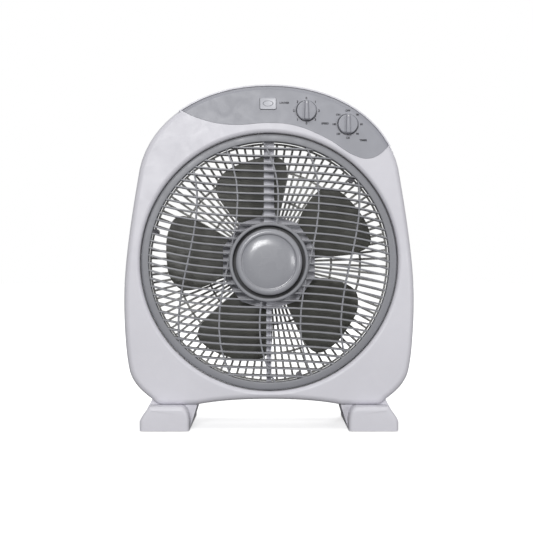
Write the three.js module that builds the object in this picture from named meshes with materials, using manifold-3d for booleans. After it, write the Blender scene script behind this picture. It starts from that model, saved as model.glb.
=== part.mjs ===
// A 14 inch box fan: two casing shells round a fan duct, a slowly turning louver grille in front,
// a five-blade impeller on a capacitor motor, two knobs, a louver button and two feet.
// Millimetres. +Z is up, the front of the fan faces -Y, and the origin lies on the floor
// under the middle of the fan.
import * as THREE from "three";
import { mergeVertices } from "three/addons/utils/BufferGeometryUtils.js";
import Module from "manifold-3d";

const wasm = await Module();
wasm.setup();

// ---- driving dimensions: casing ----
const caseWidth = 420; // at its widest
const sideWidth = 23; // casing beside the duct
const crownRise = 256.5; // crown above the fan axis, for a duct of 187 mm
const ductBottom = 55.5; // lowest point of the duct above the floor
const frontFaceY = -66;
const partingDepth = 46; // from the front face to the plane where the two shells meet
const wall = 2.5;
const frontFillet = 9;
const rearFillet = 12;
const mouthFillet = 5; // rounded lip of the opening
const gap = 0.3; // between neighbouring pieces

// ---- driving dimensions: louver grille ----
const rimClearance = 1.7; // between the grille's rim and the duct
const rimWidth = 10.7;
const rimDepth = 16.5;
const rimRecess = 4; // how far the rim lies behind the front face
const louverCount = 31;
const louverThickness = 2;
const louverDepth = 16.5;
const louverSlope = 0.02; // S curve of a louver: drop = slope * x + bend * x^3
const louverBend = 3.36e-6;
const tieCount = 5;
const tieSlope = 0.2236; // the upright ties wave the other way
const tieBend = -9.0e-6;
const tieThickness = 2.2;
const tieDepth = 9.5;
const hubRingOuter = 57.7;
const hubRingWidth = 4.9;
const hubRingProud = 1; // in front of the casing's face
const webRecess = 11; // disc that closes the back of the grille's hub, behind the ring's front
const webThickness = 2.5;
const capClearance = 4.8; // dark ring between the cap and the hub ring
const capRollWidth = 9; // raised edge of the cap
const capProud = 5;

// ---- driving dimensions: spider and louver motor ----
const spiderBehindLouvers = 4;
const spiderDepth = 7;
const spiderPlateRadius = 71;
const spiderPlateThickness = 3.2;
const topArmWidth = 15;
const bottomArmWidth = 7.5;
const seatInset = 6.5; // screws of spider and guard, inside the duct's wall
const clipHeight = 103; // lead clip on the top arm, above the fan axis
const louverMotorRadius = 25;
const louverMotorLength = 15.5;
const louverShaftRadius = 3;

// ---- driving dimensions: impeller and motor ----
const bladeCount = 5;
const tipClearance = 29; // between the blade tips and the duct
const bladeThickness = 2;
const bladeFirstAngle = 101; // degrees, counterclockwise from +X seen from the front
const hubRadius = 39;
const hubLength = 20.5;
const nutLength = 12;
const nutRadius = 13;
const shaftRadius = 4;
const motorRadius = 42;
const statorHalfLength = 9.5;
const bellDepth = 14; // from the stator to the flat end of each bell
const statorBand = 17; // width of the stator's ring
const airGap = 0.5;
const boltInset = 6; // motor bolts, inside the motor's edge
const bushRadius = 9;
const bushLength = 8.2;
const pinRadius = 1.5;
const pinHalfLength = 9;

// ---- driving dimensions: rear guard ----
const guardDepth = 6.5;
const guardRibCount = 30;
const guardRibWidth = 2.2;
const guardRingShares = [0.52, 0.76]; // radii of the two middle rings as shares of the duct's
const guardHubMargin = 8; // plate beyond the motor
const guardPlateThickness = 3;
const guardScrewAngles = [45, 165, 285];

// ---- driving dimensions: control panel ----
const panelThickness = 5;
const panelMargin = 2; // between the panel and the casing's outline
const trayThickness = 2.5;
const knobRadius = 14;
const knobSeatClearance = 1.4;
const knobProud = 7.5; // disc in front of the casing's face
const gripProud = 14;
const knobShaftRadius = 3;
const collarRadius = 4.5;
const buttonWidth = 23;
const buttonHeight = 16.5;
const buttonProud = 3;
const buttonTravel = 3;

// ---- driving dimensions: feet, handle, fasteners ----
const footWidth = 71;
const footInset = 25; // outer side of a foot, inside the casing's widest place
const footTop = 36;
const footHalfLength = 85;
const footFrontHeight = 26;
const footShoulder = 14; // where the outer side of a foot begins to lean in
const saddleInset = 10; // from the casing's faces to the part of a foot that cradles its corner
const footClearance = 1.5; // between the foot's rim and the floor
const archRise = 8; // middle of the arched underside, above the feet
const padRadius = 9;
const padTop = 4;
const footScrewSeat = 20;
const handleHalfWidth = 55;
const handleHeight = 27;
const handleDepth = 30;
const glandBarrel = 6.5;
const screwRadius = 1.6;
const screwHeadRadius = 3.7;
const screwHeadHeight = 2.4;

// ---- sizes that follow: front view ----
const ductRadius = caseWidth / 2 - sideWidth;
const fanHeight = ductBottom + ductRadius; // fan axis above the floor
const frontScale = ductRadius / 187; // some places are stated for a duct of 187 mm radius
const caseHeight = fanHeight + crownRise * frontScale;
const widestHeight = fanHeight - 52.5 * frontScale; // height of the widest place
const shoulderHeight = fanHeight + 135.5 * frontScale;
const shoulderInset = 22.5 * frontScale;
const baseCornerHeight = footTop + 54;
const archHeight = footTop + archRise;
const rimOuterRadius = ductRadius - rimClearance;
const rimInnerRadius = rimOuterRadius - rimWidth;
const louverPitch = (2 * rimInnerRadius) / (louverCount + 0.75); // the outermost one lies close to the rim
const tiePitch = (2 * rimInnerRadius) / (tieCount + 0.92);
const hubRingInner = hubRingOuter - hubRingWidth;
const capRadius = hubRingInner - capClearance;
const capStepRadius = capRadius - capRollWidth;
const seatCircle = ductRadius - seatInset;
const bladeTipRadius = ductRadius - tipClearance;
const motorBoltRadius = motorRadius - boltInset;
const statorBore = motorRadius - statorBand;
const guardRimRadius = ductRadius - 1;
const guardRingRadii = guardRingShares.map((share) => share * ductRadius);
const guardHubRadius = motorRadius + guardHubMargin;
const knobSeatRadius = knobRadius + knobSeatClearance;
const onPanel = (x, rise) => ({ x: x * frontScale, z: fanHeight + rise * frontScale });
const speedKnob = onPanel(54, 218.1);
const timerKnob = onPanel(113.7, 198.6);
const louverButton = onPanel(-1.4, 228.5);
const capacitorPlace = onPanel(-68, 215.5);
const footOuterX = caseWidth / 2 - footInset;
const footInnerX = footOuterX - footWidth;
const padX = (footInnerX + footOuterX) / 2;
const padY = footHalfLength - 17;
const footScrewX = footInnerX + 24;
const handleTop = caseHeight - 17;
const handleBottom = handleTop - handleHeight;

// ---- sizes that follow: from front to back ----
const partingY = frontFaceY + partingDepth;
const rimFrontY = frontFaceY + rimRecess;
const rimBackY = rimFrontY + rimDepth;
const louverFrontY = rimFrontY + 1.5;
const louverBackY = louverFrontY + louverDepth;
const tieFrontY = louverFrontY + 1;
const tieBackY = tieFrontY + tieDepth;
const hubRingFrontY = frontFaceY - hubRingProud;
const webFrontY = hubRingFrontY + webRecess;
const webBackY = webFrontY + webThickness;
const capFrontY = frontFaceY - capProud;
const spiderFrontY = louverBackY + spiderBehindLouvers;
const spiderBackY = spiderFrontY + spiderDepth;
const spiderPlateFrontY = spiderBackY - spiderPlateThickness;
const louverMotorBackY = spiderPlateFrontY - gap;
const louverMotorFrontY = Math.max(louverMotorBackY - louverMotorLength, webBackY + 1.5);
const nutFrontY = spiderBackY + 2; // clear of the spider
const hubFrontY = nutFrontY + nutLength;
const hubBackY = hubFrontY + hubLength;
const bladeMiddleY = hubFrontY + 9;
const pinY = hubFrontY + 11;
const shaftFrontY = nutFrontY + 3;
const frontFlatY = hubBackY + 1.5; // flat end of the motor's front bell
const bellHalfLength = statorHalfLength + bellDepth;
const motorMiddleY = frontFlatY + bellHalfLength;
const rearFlatY = motorMiddleY + bellHalfLength;
const guardFrontY = rearFlatY + gap;
const guardBackY = guardFrontY + guardDepth;
const shaftBackY = rearFlatY + 2;
const rearFaceY = guardBackY + 3.2;
const trayFrontY = frontFaceY + panelThickness + gap;
const trayBackY = trayFrontY + trayThickness;
const bodyFrontY = trayBackY + gap; // switch bodies stand on the tray
const knobFrontY = frontFaceY - knobProud;
const knobGripFrontY = frontFaceY - gripProud;
const buttonFrontY = frontFaceY - buttonProud;
const footScrewYs = [(frontFaceY + partingY) / 2, (partingY + rearFaceY) / 2];
const beyond = 900; // cutting tools run this far past the fan

// ---- materials ----
const plastic = (color, roughness) => new THREE.MeshStandardMaterial({ color, roughness, metalness: 0 });
const metal = (color, roughness) => new THREE.MeshStandardMaterial({ color, roughness, metalness: 1 });
const looks = {
  casing: () => plastic(0xdcdbe0, 0.45),
  panel: () => plastic(0xa6a7ae, 0.4),
  grille: () => plastic(0xa9aab0, 0.4),
  cap: () => plastic(0x96979d, 0.25),
  blade: () => plastic(0x44443f, 0.5),
  frame: () => plastic(0xc3c3cb, 0.5),
  guard: () => plastic(0xd9d9d2, 0.5),
  black: () => plastic(0x26262a, 0.5),
  rubber: () => plastic(0x3a3a3c, 0.9),
  steel: () => metal(0xb4b6b8, 0.35),
  aluminium: () => metal(0xc4c6c8, 0.5),
  brass: () => metal(0xb58f4a, 0.4),
  copper: () => metal(0xb0623a, 0.45),
};

// ---- facets ----
const ductSides = 48;
const hubSides = 28;
const motorSides = 20;
const bossSides = 8;
const holeSides = 6;

// ---- solids from three.js geometry ----
function solid(geometry) {
  geometry.deleteAttribute("normal");
  geometry.deleteAttribute("uv");
  const merged = mergeVertices(geometry, 1e-4);
  const kept = [];
  const index = merged.index.array;
  for (let i = 0; i < index.length; i += 3) {
    const [a, b, c] = [index[i], index[i + 1], index[i + 2]];
    if (a !== b && b !== c && c !== a) kept.push(a, b, c);
  }
  const mesh = new wasm.Mesh({
    numProp: 3,
    vertProperties: merged.attributes.position.array,
    triVerts: new Uint32Array(kept),
  });
  return new wasm.Manifold(mesh);
}

function geometryOf(body) {
  const mesh = body.getMesh();
  const geometry = new THREE.BufferGeometry();
  geometry.setAttribute("position", new THREE.BufferAttribute(mesh.vertProperties, 3));
  geometry.setIndex(new THREE.BufferAttribute(mesh.triVerts, 1));
  geometry.computeVertexNormals();
  return geometry;
}

const join = (bodies) => bodies.reduce((sum, body) => sum.add(body));
const cut = (body, tools) => tools.reduce((rest, tool) => rest.subtract(tool), body);

function shapeOf(points) {
  return new THREE.Shape(points.map(([x, y]) => new THREE.Vector2(x, y)));
}

// A front-view shape (x, z) made solid from yFront to yBack, with its edges rounded if asked.
function slab(shape, yFront, yBack, round = 0, curveSegments = 10) {
  const geometry = new THREE.ExtrudeGeometry(shape, {
    depth: yBack - yFront - 2 * round,
    bevelEnabled: round > 0,
    bevelThickness: round,
    bevelSize: round,
    bevelOffset: -round,
    bevelSegments: 2,
    curveSegments,
  });
  return solid(geometry.rotateX(Math.PI / 2).translate(0, yBack - round, 0));
}

// A side-view shape (y, z) made solid from x0 to x1.
function sideSlab(points, x0, x1) {
  const geometry = new THREE.ExtrudeGeometry(shapeOf(points), { depth: x1 - x0, bevelEnabled: false });
  const turn = new THREE.Matrix4().makeBasis(
    new THREE.Vector3(0, 1, 0),
    new THREE.Vector3(0, 0, 1),
    new THREE.Vector3(1, 0, 0),
  );
  return solid(geometry.applyMatrix4(turn).translate(x0, 0, 0));
}

function box(x0, x1, y0, y1, z0, z1) {
  const geometry = new THREE.BoxGeometry(x1 - x0, y1 - y0, z1 - z0);
  return solid(geometry.translate((x0 + x1) / 2, (y0 + y1) / 2, (z0 + z1) / 2));
}

// A profile of [radius, y] pairs turned round a line along Y through (x, z).
// It starts and ends on the axis, or closes on itself, with its outer side running towards +Y.
function turned(profile, segments = 32, x = 0, z = fanHeight) {
  const points = profile.map(([radius, y]) => new THREE.Vector2(radius, y));
  if (profile[0][0] > 0) points.push(points[0].clone());
  return solid(new THREE.LatheGeometry(points, segments).translate(x, 0, z));
}

const rod = (radius, y0, y1, segments, x, z) =>
  turned([[0, y0], [radius, y0], [radius, y1], [0, y1]], segments, x, z);
const tube = (inner, outer, y0, y1, segments, x, z) =>
  turned([[inner, y0], [outer, y0], [outer, y1], [inner, y1]], segments, x, z);

function uprightRod(radius, z0, z1, x, y, segments = 16) {
  const geometry = new THREE.CylinderGeometry(radius, radius, z1 - z0, segments);
  return solid(geometry.rotateX(Math.PI / 2).translate(x, y, (z0 + z1) / 2));
}

const onCircle = (radius, degrees) => {
  const angle = THREE.MathUtils.degToRad(degrees);
  return [radius * Math.cos(angle), fanHeight + radius * Math.sin(angle)];
};

// ---- the casing's outline ----
function outlinePoints() {
  const half = caseWidth / 2;
  const shoulder = half - shoulderInset;
  const corner = baseCornerHeight;
  const low = footTop + 7.5;
  const scaled = (length) => length * frontScale;
  const side = new THREE.Path();
  side.moveTo(0, caseHeight);
  side.bezierCurveTo(
    half * 0.476, caseHeight,
    half - scaled(38), shoulderHeight + scaled(70),
    shoulder, shoulderHeight,
  );
  side.bezierCurveTo(
    half - scaled(16), shoulderHeight - scaled(38),
    half, widestHeight + scaled(60),
    half, widestHeight,
  );
  side.bezierCurveTo(half, widestHeight - scaled(40), half - 2.5, corner + 22, half - 7, corner);
  side.bezierCurveTo(half - 10.5, corner - 22, footOuterX - 1, footTop + 19, footOuterX - 16.5, low);
  side.quadraticCurveTo(footOuterX - 22, footTop, footOuterX - 32, footTop);
  side.lineTo(footInnerX - 10, footTop);
  side.quadraticCurveTo(footInnerX - 52, archHeight, 0, archHeight);
  const right = side.getPoints(4);
  const left = right.slice(1, -1).reverse().map((p) => new THREE.Vector2(-p.x, p.y));
  return [...right, ...left];
}

// The outline moved inwards by a distance, each corner along the line that halves it.
function insetOutline(distance) {
  const points = outlinePoints();
  const count = points.length;
  const moved = points.map((point, i) => {
    const before = points[(i + count - 1) % count];
    const after = points[(i + 1) % count];
    const first = point.clone().sub(before).normalize();
    const second = after.clone().sub(point).normalize();
    const inward = new THREE.Vector2(first.y + second.y, -first.x - second.x).normalize();
    const miter = 1 / Math.sqrt((1 + first.dot(second)) / 2);
    return point.clone().addScaledVector(inward, distance * miter);
  });
  return new THREE.Shape(moved);
}

// ---- control panel ----
// Lower edge of the panel, from left to right, as [x, height above the fan axis] for a duct of 187 mm.
const panelEdge = [
  [-160, 243],
  [-127, 219],
  [-86, 202.5],
  [-50, 198],
  [0, 200.5],
  [35, 197.5],
  [83, 178.5],
  [125, 153],
  [142.6, 149.1],
  [158, 154],
  [176, 171],
  [215, 211],
];

function panelRegion(lift, margin, yFront, yBack) {
  const knots = panelEdge.map(([x, rise]) => {
    const place = onPanel(x, rise);
    return new THREE.Vector2(place.x, place.z + lift);
  });
  const edge = new THREE.SplineCurve(knots);
  const top = caseHeight + 30;
  const left = new THREE.Vector2(knots[0].x, top);
  const right = new THREE.Vector2(knots.at(-1).x, top);
  const above = slab(new THREE.Shape([left, ...edge.getPoints(36), right]), yFront, yBack);
  return slab(insetOutline(margin), yFront, yBack).intersect(above);
}

const buttonClearance = 0.5;
const buttonHole = (clearance, y0, y1) =>
  box(
    louverButton.x - buttonWidth / 2 - clearance,
    louverButton.x + buttonWidth / 2 + clearance,
    y0,
    y1,
    louverButton.z - buttonHeight / 2 - clearance,
    louverButton.z + buttonHeight / 2 + clearance,
  );

function controlPanel() {
  const block = slab(insetOutline(0), frontFaceY, partingY, frontFillet);
  const region = panelRegion(gap, panelMargin + gap, frontFaceY - 5, frontFaceY + panelThickness);
  const plate = block.intersect(region);
  return cut(plate, [
    rod(knobSeatRadius, -beyond, beyond, 24, speedKnob.x, speedKnob.z),
    rod(knobSeatRadius, -beyond, beyond, 24, timerKnob.x, timerKnob.z),
    buttonHole(buttonClearance, -beyond, beyond),
  ]);
}

// ---- casing shells ----
const bossRadius = 5;
const seatRadius = 7.5; // screw seats that stand out of the duct's wall
const bossHole = screwRadius + gap;
const looseHole = screwRadius + 2 * gap; // where a screw only passes through
const headHole = screwHeadRadius + 2 * gap;
const frontBossY = partingY - 20; // how deep the casing screws' holes reach into the front shell's bosses
const wellFloorY = partingY + 12; // floor of each screw's well in the rear shell
const sides = [-1, 1];
const armAngles = [90, 270];
// Casing screws as [degrees round the fan axis, distance outside the duct].
const caseScrews = [
  [51, 48 * frontScale],
  [-2.2, sideWidth / 2 - 1.4],
  [-42.7, 37.7 * frontScale],
];
const caseScrewPlaces = sides.flatMap((side) =>
  caseScrews.map(([angle, outside]) => {
    const [x, z] = onCircle(ductRadius + outside, angle);
    return [side * x, z];
  }),
);
const [glandX, glandZ] = onCircle(ductRadius + 28 * frontScale, -56.1);
const footScrewHeight = footTop + 14;

function frontCasing() {
  const block = slab(insetOutline(0), frontFaceY, rearFaceY, frontFillet);
  const hollow = slab(insetOutline(wall), frontFaceY + wall, rearFaceY + 20, frontFillet - wall);
  const tray = slab(insetOutline(wall), frontFaceY + wall / 2, trayBackY).intersect(
    panelRegion(-wall, panelMargin - 2, frontFaceY, trayBackY),
  );
  const bosses = caseScrewPlaces.map(([x, z]) =>
    rod(bossRadius, frontFaceY + wall / 2, partingY, bossSides, x, z),
  );
  const footBosses = sides.map((side) =>
    uprightRod(bossRadius, footTop + wall / 2, footScrewHeight, side * footScrewX, footScrewYs[0], bossSides),
  );
  const duct = tube(ductRadius - 0.5, ductRadius + wall, frontFaceY + 1, rearFaceY, ductSides);
  const lip = Array.from({ length: 3 }, (_, i) => {
    const angle = (i / 2) * (Math.PI / 2);
    return [
      ductRadius + mouthFillet * (1 - Math.sin(angle)),
      frontFaceY + mouthFillet * (1 - Math.cos(angle)),
    ];
  });
  const opening = turned(
    [
      [0, frontFaceY - 5],
      [ductRadius + mouthFillet, frontFaceY - 5],
      ...lip,
      [ductRadius, rearFaceY],
      [0, rearFaceY],
    ],
    ductSides,
  );
  const arms = armAngles.map((angle) =>
    rod(seatRadius, spiderBackY + gap, partingY, bossSides, ...onCircle(seatCircle, angle)),
  );
  const shell = cut(join([block.subtract(hollow), tray, duct, ...bosses, ...footBosses]), [
    opening,
    panelRegion(0, panelMargin, frontFaceY - 5, trayFrontY),
  ]);
  const holes = [
    ...caseScrewPlaces.map(([x, z]) => rod(bossHole, frontBossY, beyond, holeSides, x, z)),
    ...sides.map((side) =>
      uprightRod(bossHole, 0, footScrewHeight - 2, side * footScrewX, footScrewYs[0], holeSides),
    ),
    ...armAngles.map((angle) => rod(bossHole, -beyond, beyond, holeSides, ...onCircle(seatCircle, angle))),
    rod(collarRadius + gap, -beyond, beyond, 12, speedKnob.x, speedKnob.z),
    rod(collarRadius + gap, -beyond, beyond, 12, timerKnob.x, timerKnob.z),
    buttonHole(buttonClearance, -beyond, trayBackY + 1),
  ];
  const behind = box(-beyond, beyond, partingY, beyond, -beyond, beyond);
  return cut(join([shell, ...arms]), [...holes, behind]);
}

const handleShape = (grow) => {
  const radius = (handleTop - handleBottom) / 2 + grow;
  const middle = (handleTop + handleBottom) / 2;
  const reach = handleHalfWidth - radius + grow;
  const shape = new THREE.Shape();
  shape.absarc(reach, middle, radius, -Math.PI / 2, Math.PI / 2);
  shape.absarc(-reach, middle, radius, Math.PI / 2, (3 * Math.PI) / 2);
  return shape;
};

function rearCasing() {
  const block = slab(insetOutline(0), frontFaceY, rearFaceY, rearFillet);
  const hollow = slab(insetOutline(wall), frontFaceY - 20, rearFaceY - wall, rearFillet - wall);
  const duct = tube(ductRadius - 0.5, ductRadius + wall, partingY, rearFaceY - 1, ductSides);
  const wells = caseScrewPlaces.map(([x, z]) =>
    rod(bossRadius + 1, partingY, rearFaceY - 1, bossSides, x, z),
  );
  const footBosses = sides.map((side) =>
    uprightRod(bossRadius, footTop + wall / 2, footScrewHeight, side * footScrewX, footScrewYs[1], bossSides),
  );
  const pocket = slab(handleShape(wall), rearFaceY - handleDepth - wall, rearFaceY - 1);
  const guardSeats = guardScrewAngles.map((angle) =>
    rod(seatRadius, guardFrontY - 14, guardFrontY - gap, bossSides, ...onCircle(seatCircle, angle)),
  );
  const shell = join([block.subtract(hollow), duct, ...wells, ...footBosses, pocket]);
  const opened = cut(shell, [
    rod(ductRadius, partingY - 5, rearFaceY + 5, ductSides),
    slab(handleShape(0), rearFaceY - handleDepth, rearFaceY + 5),
  ]);
  const holes = [
    ...caseScrewPlaces.map(([x, z]) => rod(headHole, wellFloorY, beyond, bossSides, x, z)),
    ...caseScrewPlaces.map(([x, z]) => rod(looseHole, partingY - 5, wellFloorY + 1, holeSides, x, z)),
    ...sides.map((side) =>
      uprightRod(bossHole, 0, footScrewHeight - 2, side * footScrewX, footScrewYs[1], holeSides),
    ),
    ...guardScrewAngles.map((angle) =>
      rod(bossHole, guardFrontY - 11, beyond, holeSides, ...onCircle(seatCircle, angle)),
    ),
    rod(glandBarrel + gap, rearFaceY - 12, beyond, 12, glandX, glandZ),
  ];
  const ahead = box(-beyond, beyond, -beyond, partingY + gap, -beyond, beyond);
  return cut(join([opened, ...guardSeats]), [...holes, ahead]);
}

// ---- rear guard ----
const bearingWindow = 16; // hole in the guard's plate round the motor's rear bearing

function rearGuard() {
  const rim = tube(guardRimRadius - 2.5, guardRimRadius, guardFrontY, guardBackY, guardRibCount);
  const ribs = Array.from({ length: guardRibCount }, (_, i) => {
    const half = guardRibWidth / 2;
    const rib = box(guardHubRadius - 1, guardRimRadius - 1, guardFrontY, guardBackY, -half, half);
    const turn = 90 + (360 / guardRibCount) * i;
    return rib.rotate([0, turn, 0]).translate([0, 0, fanHeight]);
  });
  const rings = guardRingRadii.map((radius) =>
    tube(radius - 1.2, radius + 1.2, guardFrontY, guardBackY, guardRibCount),
  );
  const plate = turned(
    [
      [bearingWindow, guardFrontY],
      [guardHubRadius, guardFrontY],
      [guardHubRadius, guardBackY],
      [guardHubRadius - 2.5, guardBackY],
      [guardHubRadius - 2.5, guardFrontY + guardPlateThickness],
      [bearingWindow, guardFrontY + guardPlateThickness],
    ],
    guardRibCount,
  );
  const lugs = guardScrewAngles.map((angle) =>
    rod(6, guardFrontY, guardFrontY + guardPlateThickness, bossSides, ...onCircle(seatCircle, angle)),
  );
  const holes = [
    ...guardScrewAngles.map((angle) =>
      rod(looseHole, -beyond, beyond, holeSides, ...onCircle(seatCircle, angle)),
    ),
    ...motorBoltHoles(),
    ...guardScrewAngles.map((angle) =>
      rod(headHole, guardFrontY + guardPlateThickness, beyond, bossSides, ...onCircle(seatCircle, angle)),
    ),
  ];
  return cut(join([rim, plate, ...rings, ...lugs, ...ribs]), holes);
}

// ---- louver grille and its cap ----
// A wavy bar: points along +x at height wave(x), thickened and cut to a chord of the rim.
function wavyBar(wave, halfLength, thickness, yFront, yBack) {
  const steps = 4;
  const along = Array.from({ length: steps + 1 }, (_, i) => -halfLength + (2 * halfLength * i) / steps);
  const lower = along.map((x) => [x, wave(x) - thickness / 2]);
  const upper = along.map((x) => [x, wave(x) + thickness / 2]).reverse();
  return slab(shapeOf([...lower, ...upper]), yFront, yBack);
}

function louverGrille() {
  const reach = rimInnerRadius + 3;
  const louvers = Array.from({ length: louverCount }, (_, i) => {
    const height = (i - (louverCount - 1) / 2) * louverPitch;
    const halfLength = Math.sqrt(reach * reach - height * height) + 4;
    const wave = (x) => height - louverSlope * x - louverBend * x ** 3;
    return wavyBar(wave, halfLength, louverThickness, louverFrontY, louverBackY);
  });
  const ties = Array.from({ length: tieCount }, (_, i) => {
    const place = (i - (tieCount - 1) / 2) * tiePitch;
    const halfLength = Math.sqrt(reach * reach - place * place) + 12;
    const wave = (x) => -place + tieSlope * x + tieBend * x ** 3;
    return wavyBar(wave, halfLength, tieThickness, tieFrontY, tieBackY).rotate([0, -90, 0]);
  });
  const middle = (hubRingInner + hubRingOuter) / 2;
  const band = tube(middle, rimInnerRadius + 2, -beyond, beyond, ductSides, 0, 0);
  const bars = join([...louvers, ...ties]).intersect(band).translate([0, 0, fanHeight]);
  const rim = turned(
    [
      [rimInnerRadius, rimFrontY],
      [rimOuterRadius - 2, rimFrontY],
      [rimOuterRadius, rimFrontY + 2.5],
      [rimOuterRadius, rimFrontY + 6],
      [rimInnerRadius + wall, rimFrontY + 6],
      [rimInnerRadius + wall, rimBackY],
      [rimInnerRadius, rimBackY],
    ],
    ductSides,
  );
  const hub = turned(
    [
      [hubRingInner, hubRingFrontY],
      [hubRingOuter - 1.5, hubRingFrontY],
      [hubRingOuter, hubRingFrontY + 2],
      [hubRingOuter, louverBackY],
      [hubRingInner, louverBackY],
    ],
    hubSides,
  );
  const web = tube(louverShaftRadius + gap, hubRingInner + 1, webFrontY, webBackY, hubSides);
  const boss = tube(louverShaftRadius + gap, louverShaftRadius + 5, webFrontY - 6, webBackY, hubSides);
  return join([bars, rim, hub, web, boss]);
}

function centreCap() {
  const skirtY = webFrontY - gap;
  return turned(
    [
      [0, capFrontY + 1.6],
      [capStepRadius - 1, capFrontY + 2.5],
      [capStepRadius + 2, capFrontY],
      [capRadius - 2.5, capFrontY + 0.8],
      [capRadius, capFrontY + 5],
      [capRadius, skirtY],
      [capRadius - 2, skirtY],
      [capRadius - 2, capFrontY + 5.5],
      [0, capFrontY + 4.5],
    ],
    hubSides,
  );
}

// ---- spider and louver motor ----
function frontSpider() {
  const plate = rod(spiderPlateRadius, spiderPlateFrontY, spiderBackY, 10);
  const cup = tube(louverMotorRadius + 1, louverMotorRadius + 3.5, spiderPlateFrontY - 8, spiderBackY, 24);
  const end = seatCircle + 5;
  const arms = join([
    box(-topArmWidth / 2, topArmWidth / 2, spiderFrontY, spiderBackY, 0, end),
    box(-bottomArmWidth / 2, bottomArmWidth / 2, spiderFrontY, spiderBackY, -end, 0),
  ]).translate([0, 0, fanHeight]);
  const clear = rod(louverMotorRadius + 2, -beyond, spiderPlateFrontY, 24);
  const gusset = slab(
    shapeOf([
      [-22, 0],
      [22, 0],
      [topArmWidth / 2, spiderPlateRadius + 10],
      [-topArmWidth / 2, spiderPlateRadius + 10],
    ]),
    spiderPlateFrontY,
    spiderBackY,
  ).translate([0, 0, fanHeight]);
  const eyes = armAngles.map((angle) =>
    rod(5.5, spiderFrontY, spiderBackY, 12, ...onCircle(seatCircle, angle)),
  );
  const clipZ = fanHeight + clipHeight;
  const holes = [
    ...armAngles.map((angle) => rod(looseHole, -beyond, beyond, 8, ...onCircle(seatCircle, angle))),
    rod(louverMotorRadius + 1, -beyond, spiderPlateFrontY, 24),
    box(-2.6, 2.6, spiderFrontY - 5, spiderFrontY + 2, clipZ - 6, clipZ + 6),
  ];
  return cut(join([plate, gusset, arms.subtract(clear), cup, ...eyes]), holes);
}

function leadClip() {
  const y = spiderFrontY + 2 - gap;
  const z = fanHeight + clipHeight;
  return join([
    box(-2.3, 2.3, spiderFrontY - 1, y, z - 5.7, z + 5.7),
    box(-4.5, 4.5, spiderFrontY - 2.4, spiderFrontY - gap, z - 3, z + 3),
  ]);
}

function louverMotor() {
  const can = rod(louverMotorRadius, louverMotorFrontY, louverMotorBackY, motorSides);
  const bore = rod(louverShaftRadius + gap, -beyond, louverMotorBackY - 4, 16);
  return can.subtract(bore);
}

const louverShaft = () => rod(louverShaftRadius, webFrontY - 5, louverMotorBackY - 4 - gap, 16);

// ---- impeller ----
// Half width of a blade in degrees at a share of the way from root to tip.
const bladeHalfWidth = (share) => 30 + 4 * Math.cos(Math.PI * share) - 9 * share ** 4;

function blade() {
  const geometry = new THREE.BoxGeometry(2, 1, 1, 5, 1, 4);
  const position = geometry.attributes.position;
  const root = hubRadius - 1.5;
  for (let i = 0; i < position.count; i++) {
    const across = position.getX(i);
    const side = position.getY(i);
    const share = position.getZ(i) + 0.5;
    const tip = bladeTipRadius - 13 * Math.abs(across) ** 4;
    const radius = root + share * (tip - root);
    const angle = THREE.MathUtils.degToRad(90 - across * bladeHalfWidth(share));
    const rise = 8 + 5 * share;
    const y = bladeMiddleY + rise * across + 2 * across * across + side * bladeThickness;
    position.setXYZ(i, radius * Math.cos(angle), y, radius * Math.sin(angle));
  }
  return solid(geometry);
}

function impeller() {
  const cup = turned(
    [
      [shaftRadius + gap, hubFrontY],
      [hubRadius - 3, hubFrontY],
      [hubRadius, hubFrontY + 3],
      [hubRadius, hubBackY],
      [hubRadius - 2.5, hubBackY],
      [hubRadius - 2.5, hubFrontY + 3],
      [shaftRadius + 6, hubFrontY + 3],
      [shaftRadius + 6, pinY + 2],
      [shaftRadius + gap, pinY + 2],
    ],
    hubSides,
  );
  const turns = Array.from({ length: bladeCount }, (_, i) => bladeFirstAngle - 90 + (360 / bladeCount) * i);
  const blades = turns.map((turn) => blade().rotate([0, -turn, 0]).translate([0, 0, fanHeight]));
  const loose = pinRadius + gap;
  const slot = box(-beyond, beyond, pinY - loose, pinY + 10, fanHeight - loose, fanHeight + loose);
  const core = rod(hubRadius - 2.5, hubFrontY + 3, beyond, hubSides);
  const coreTool = core.subtract(rod(shaftRadius + 6, -beyond, beyond, hubSides));
  return cut(join([cup, ...blades]), [coreTool, slot.intersect(rod(shaftRadius + 7, -beyond, beyond, 24))]);
}

function pinTool(radius, halfLength) {
  const geometry = new THREE.CylinderGeometry(radius, radius, 2 * halfLength, 12);
  return solid(geometry.rotateZ(Math.PI / 2).translate(0, pinY, fanHeight));
}

const drivePin = () => pinTool(pinRadius, pinHalfLength);
const motorShaft = () => rod(shaftRadius, shaftFrontY, shaftBackY, 24).subtract(pinTool(pinRadius + gap, 20));

function spinnerNut() {
  const backY = hubFrontY - gap;
  const bore = shaftRadius + gap;
  const body = turned(
    [
      [0, nutFrontY],
      [nutRadius - 5, nutFrontY + 0.8],
      [nutRadius, backY - 6],
      [nutRadius, backY],
      [bore, backY],
      [bore, shaftFrontY - gap],
      [0, shaftFrontY - gap],
    ],
    16,
  );
  const grooves = Array.from({ length: 6 }, (_, i) =>
    rod(2, -beyond, backY + 1, 8, ...onCircle(nutRadius + 1, 60 * i)),
  );
  return cut(body, grooves);
}

// ---- fan motor ----
const motorBoltAngles = [45, 135, 225, 315];
const motorBoltHoles = () =>
  motorBoltAngles.map((angle) =>
    rod(looseHole, -beyond, beyond, holeSides, ...onCircle(motorBoltRadius, angle)),
  );

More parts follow.
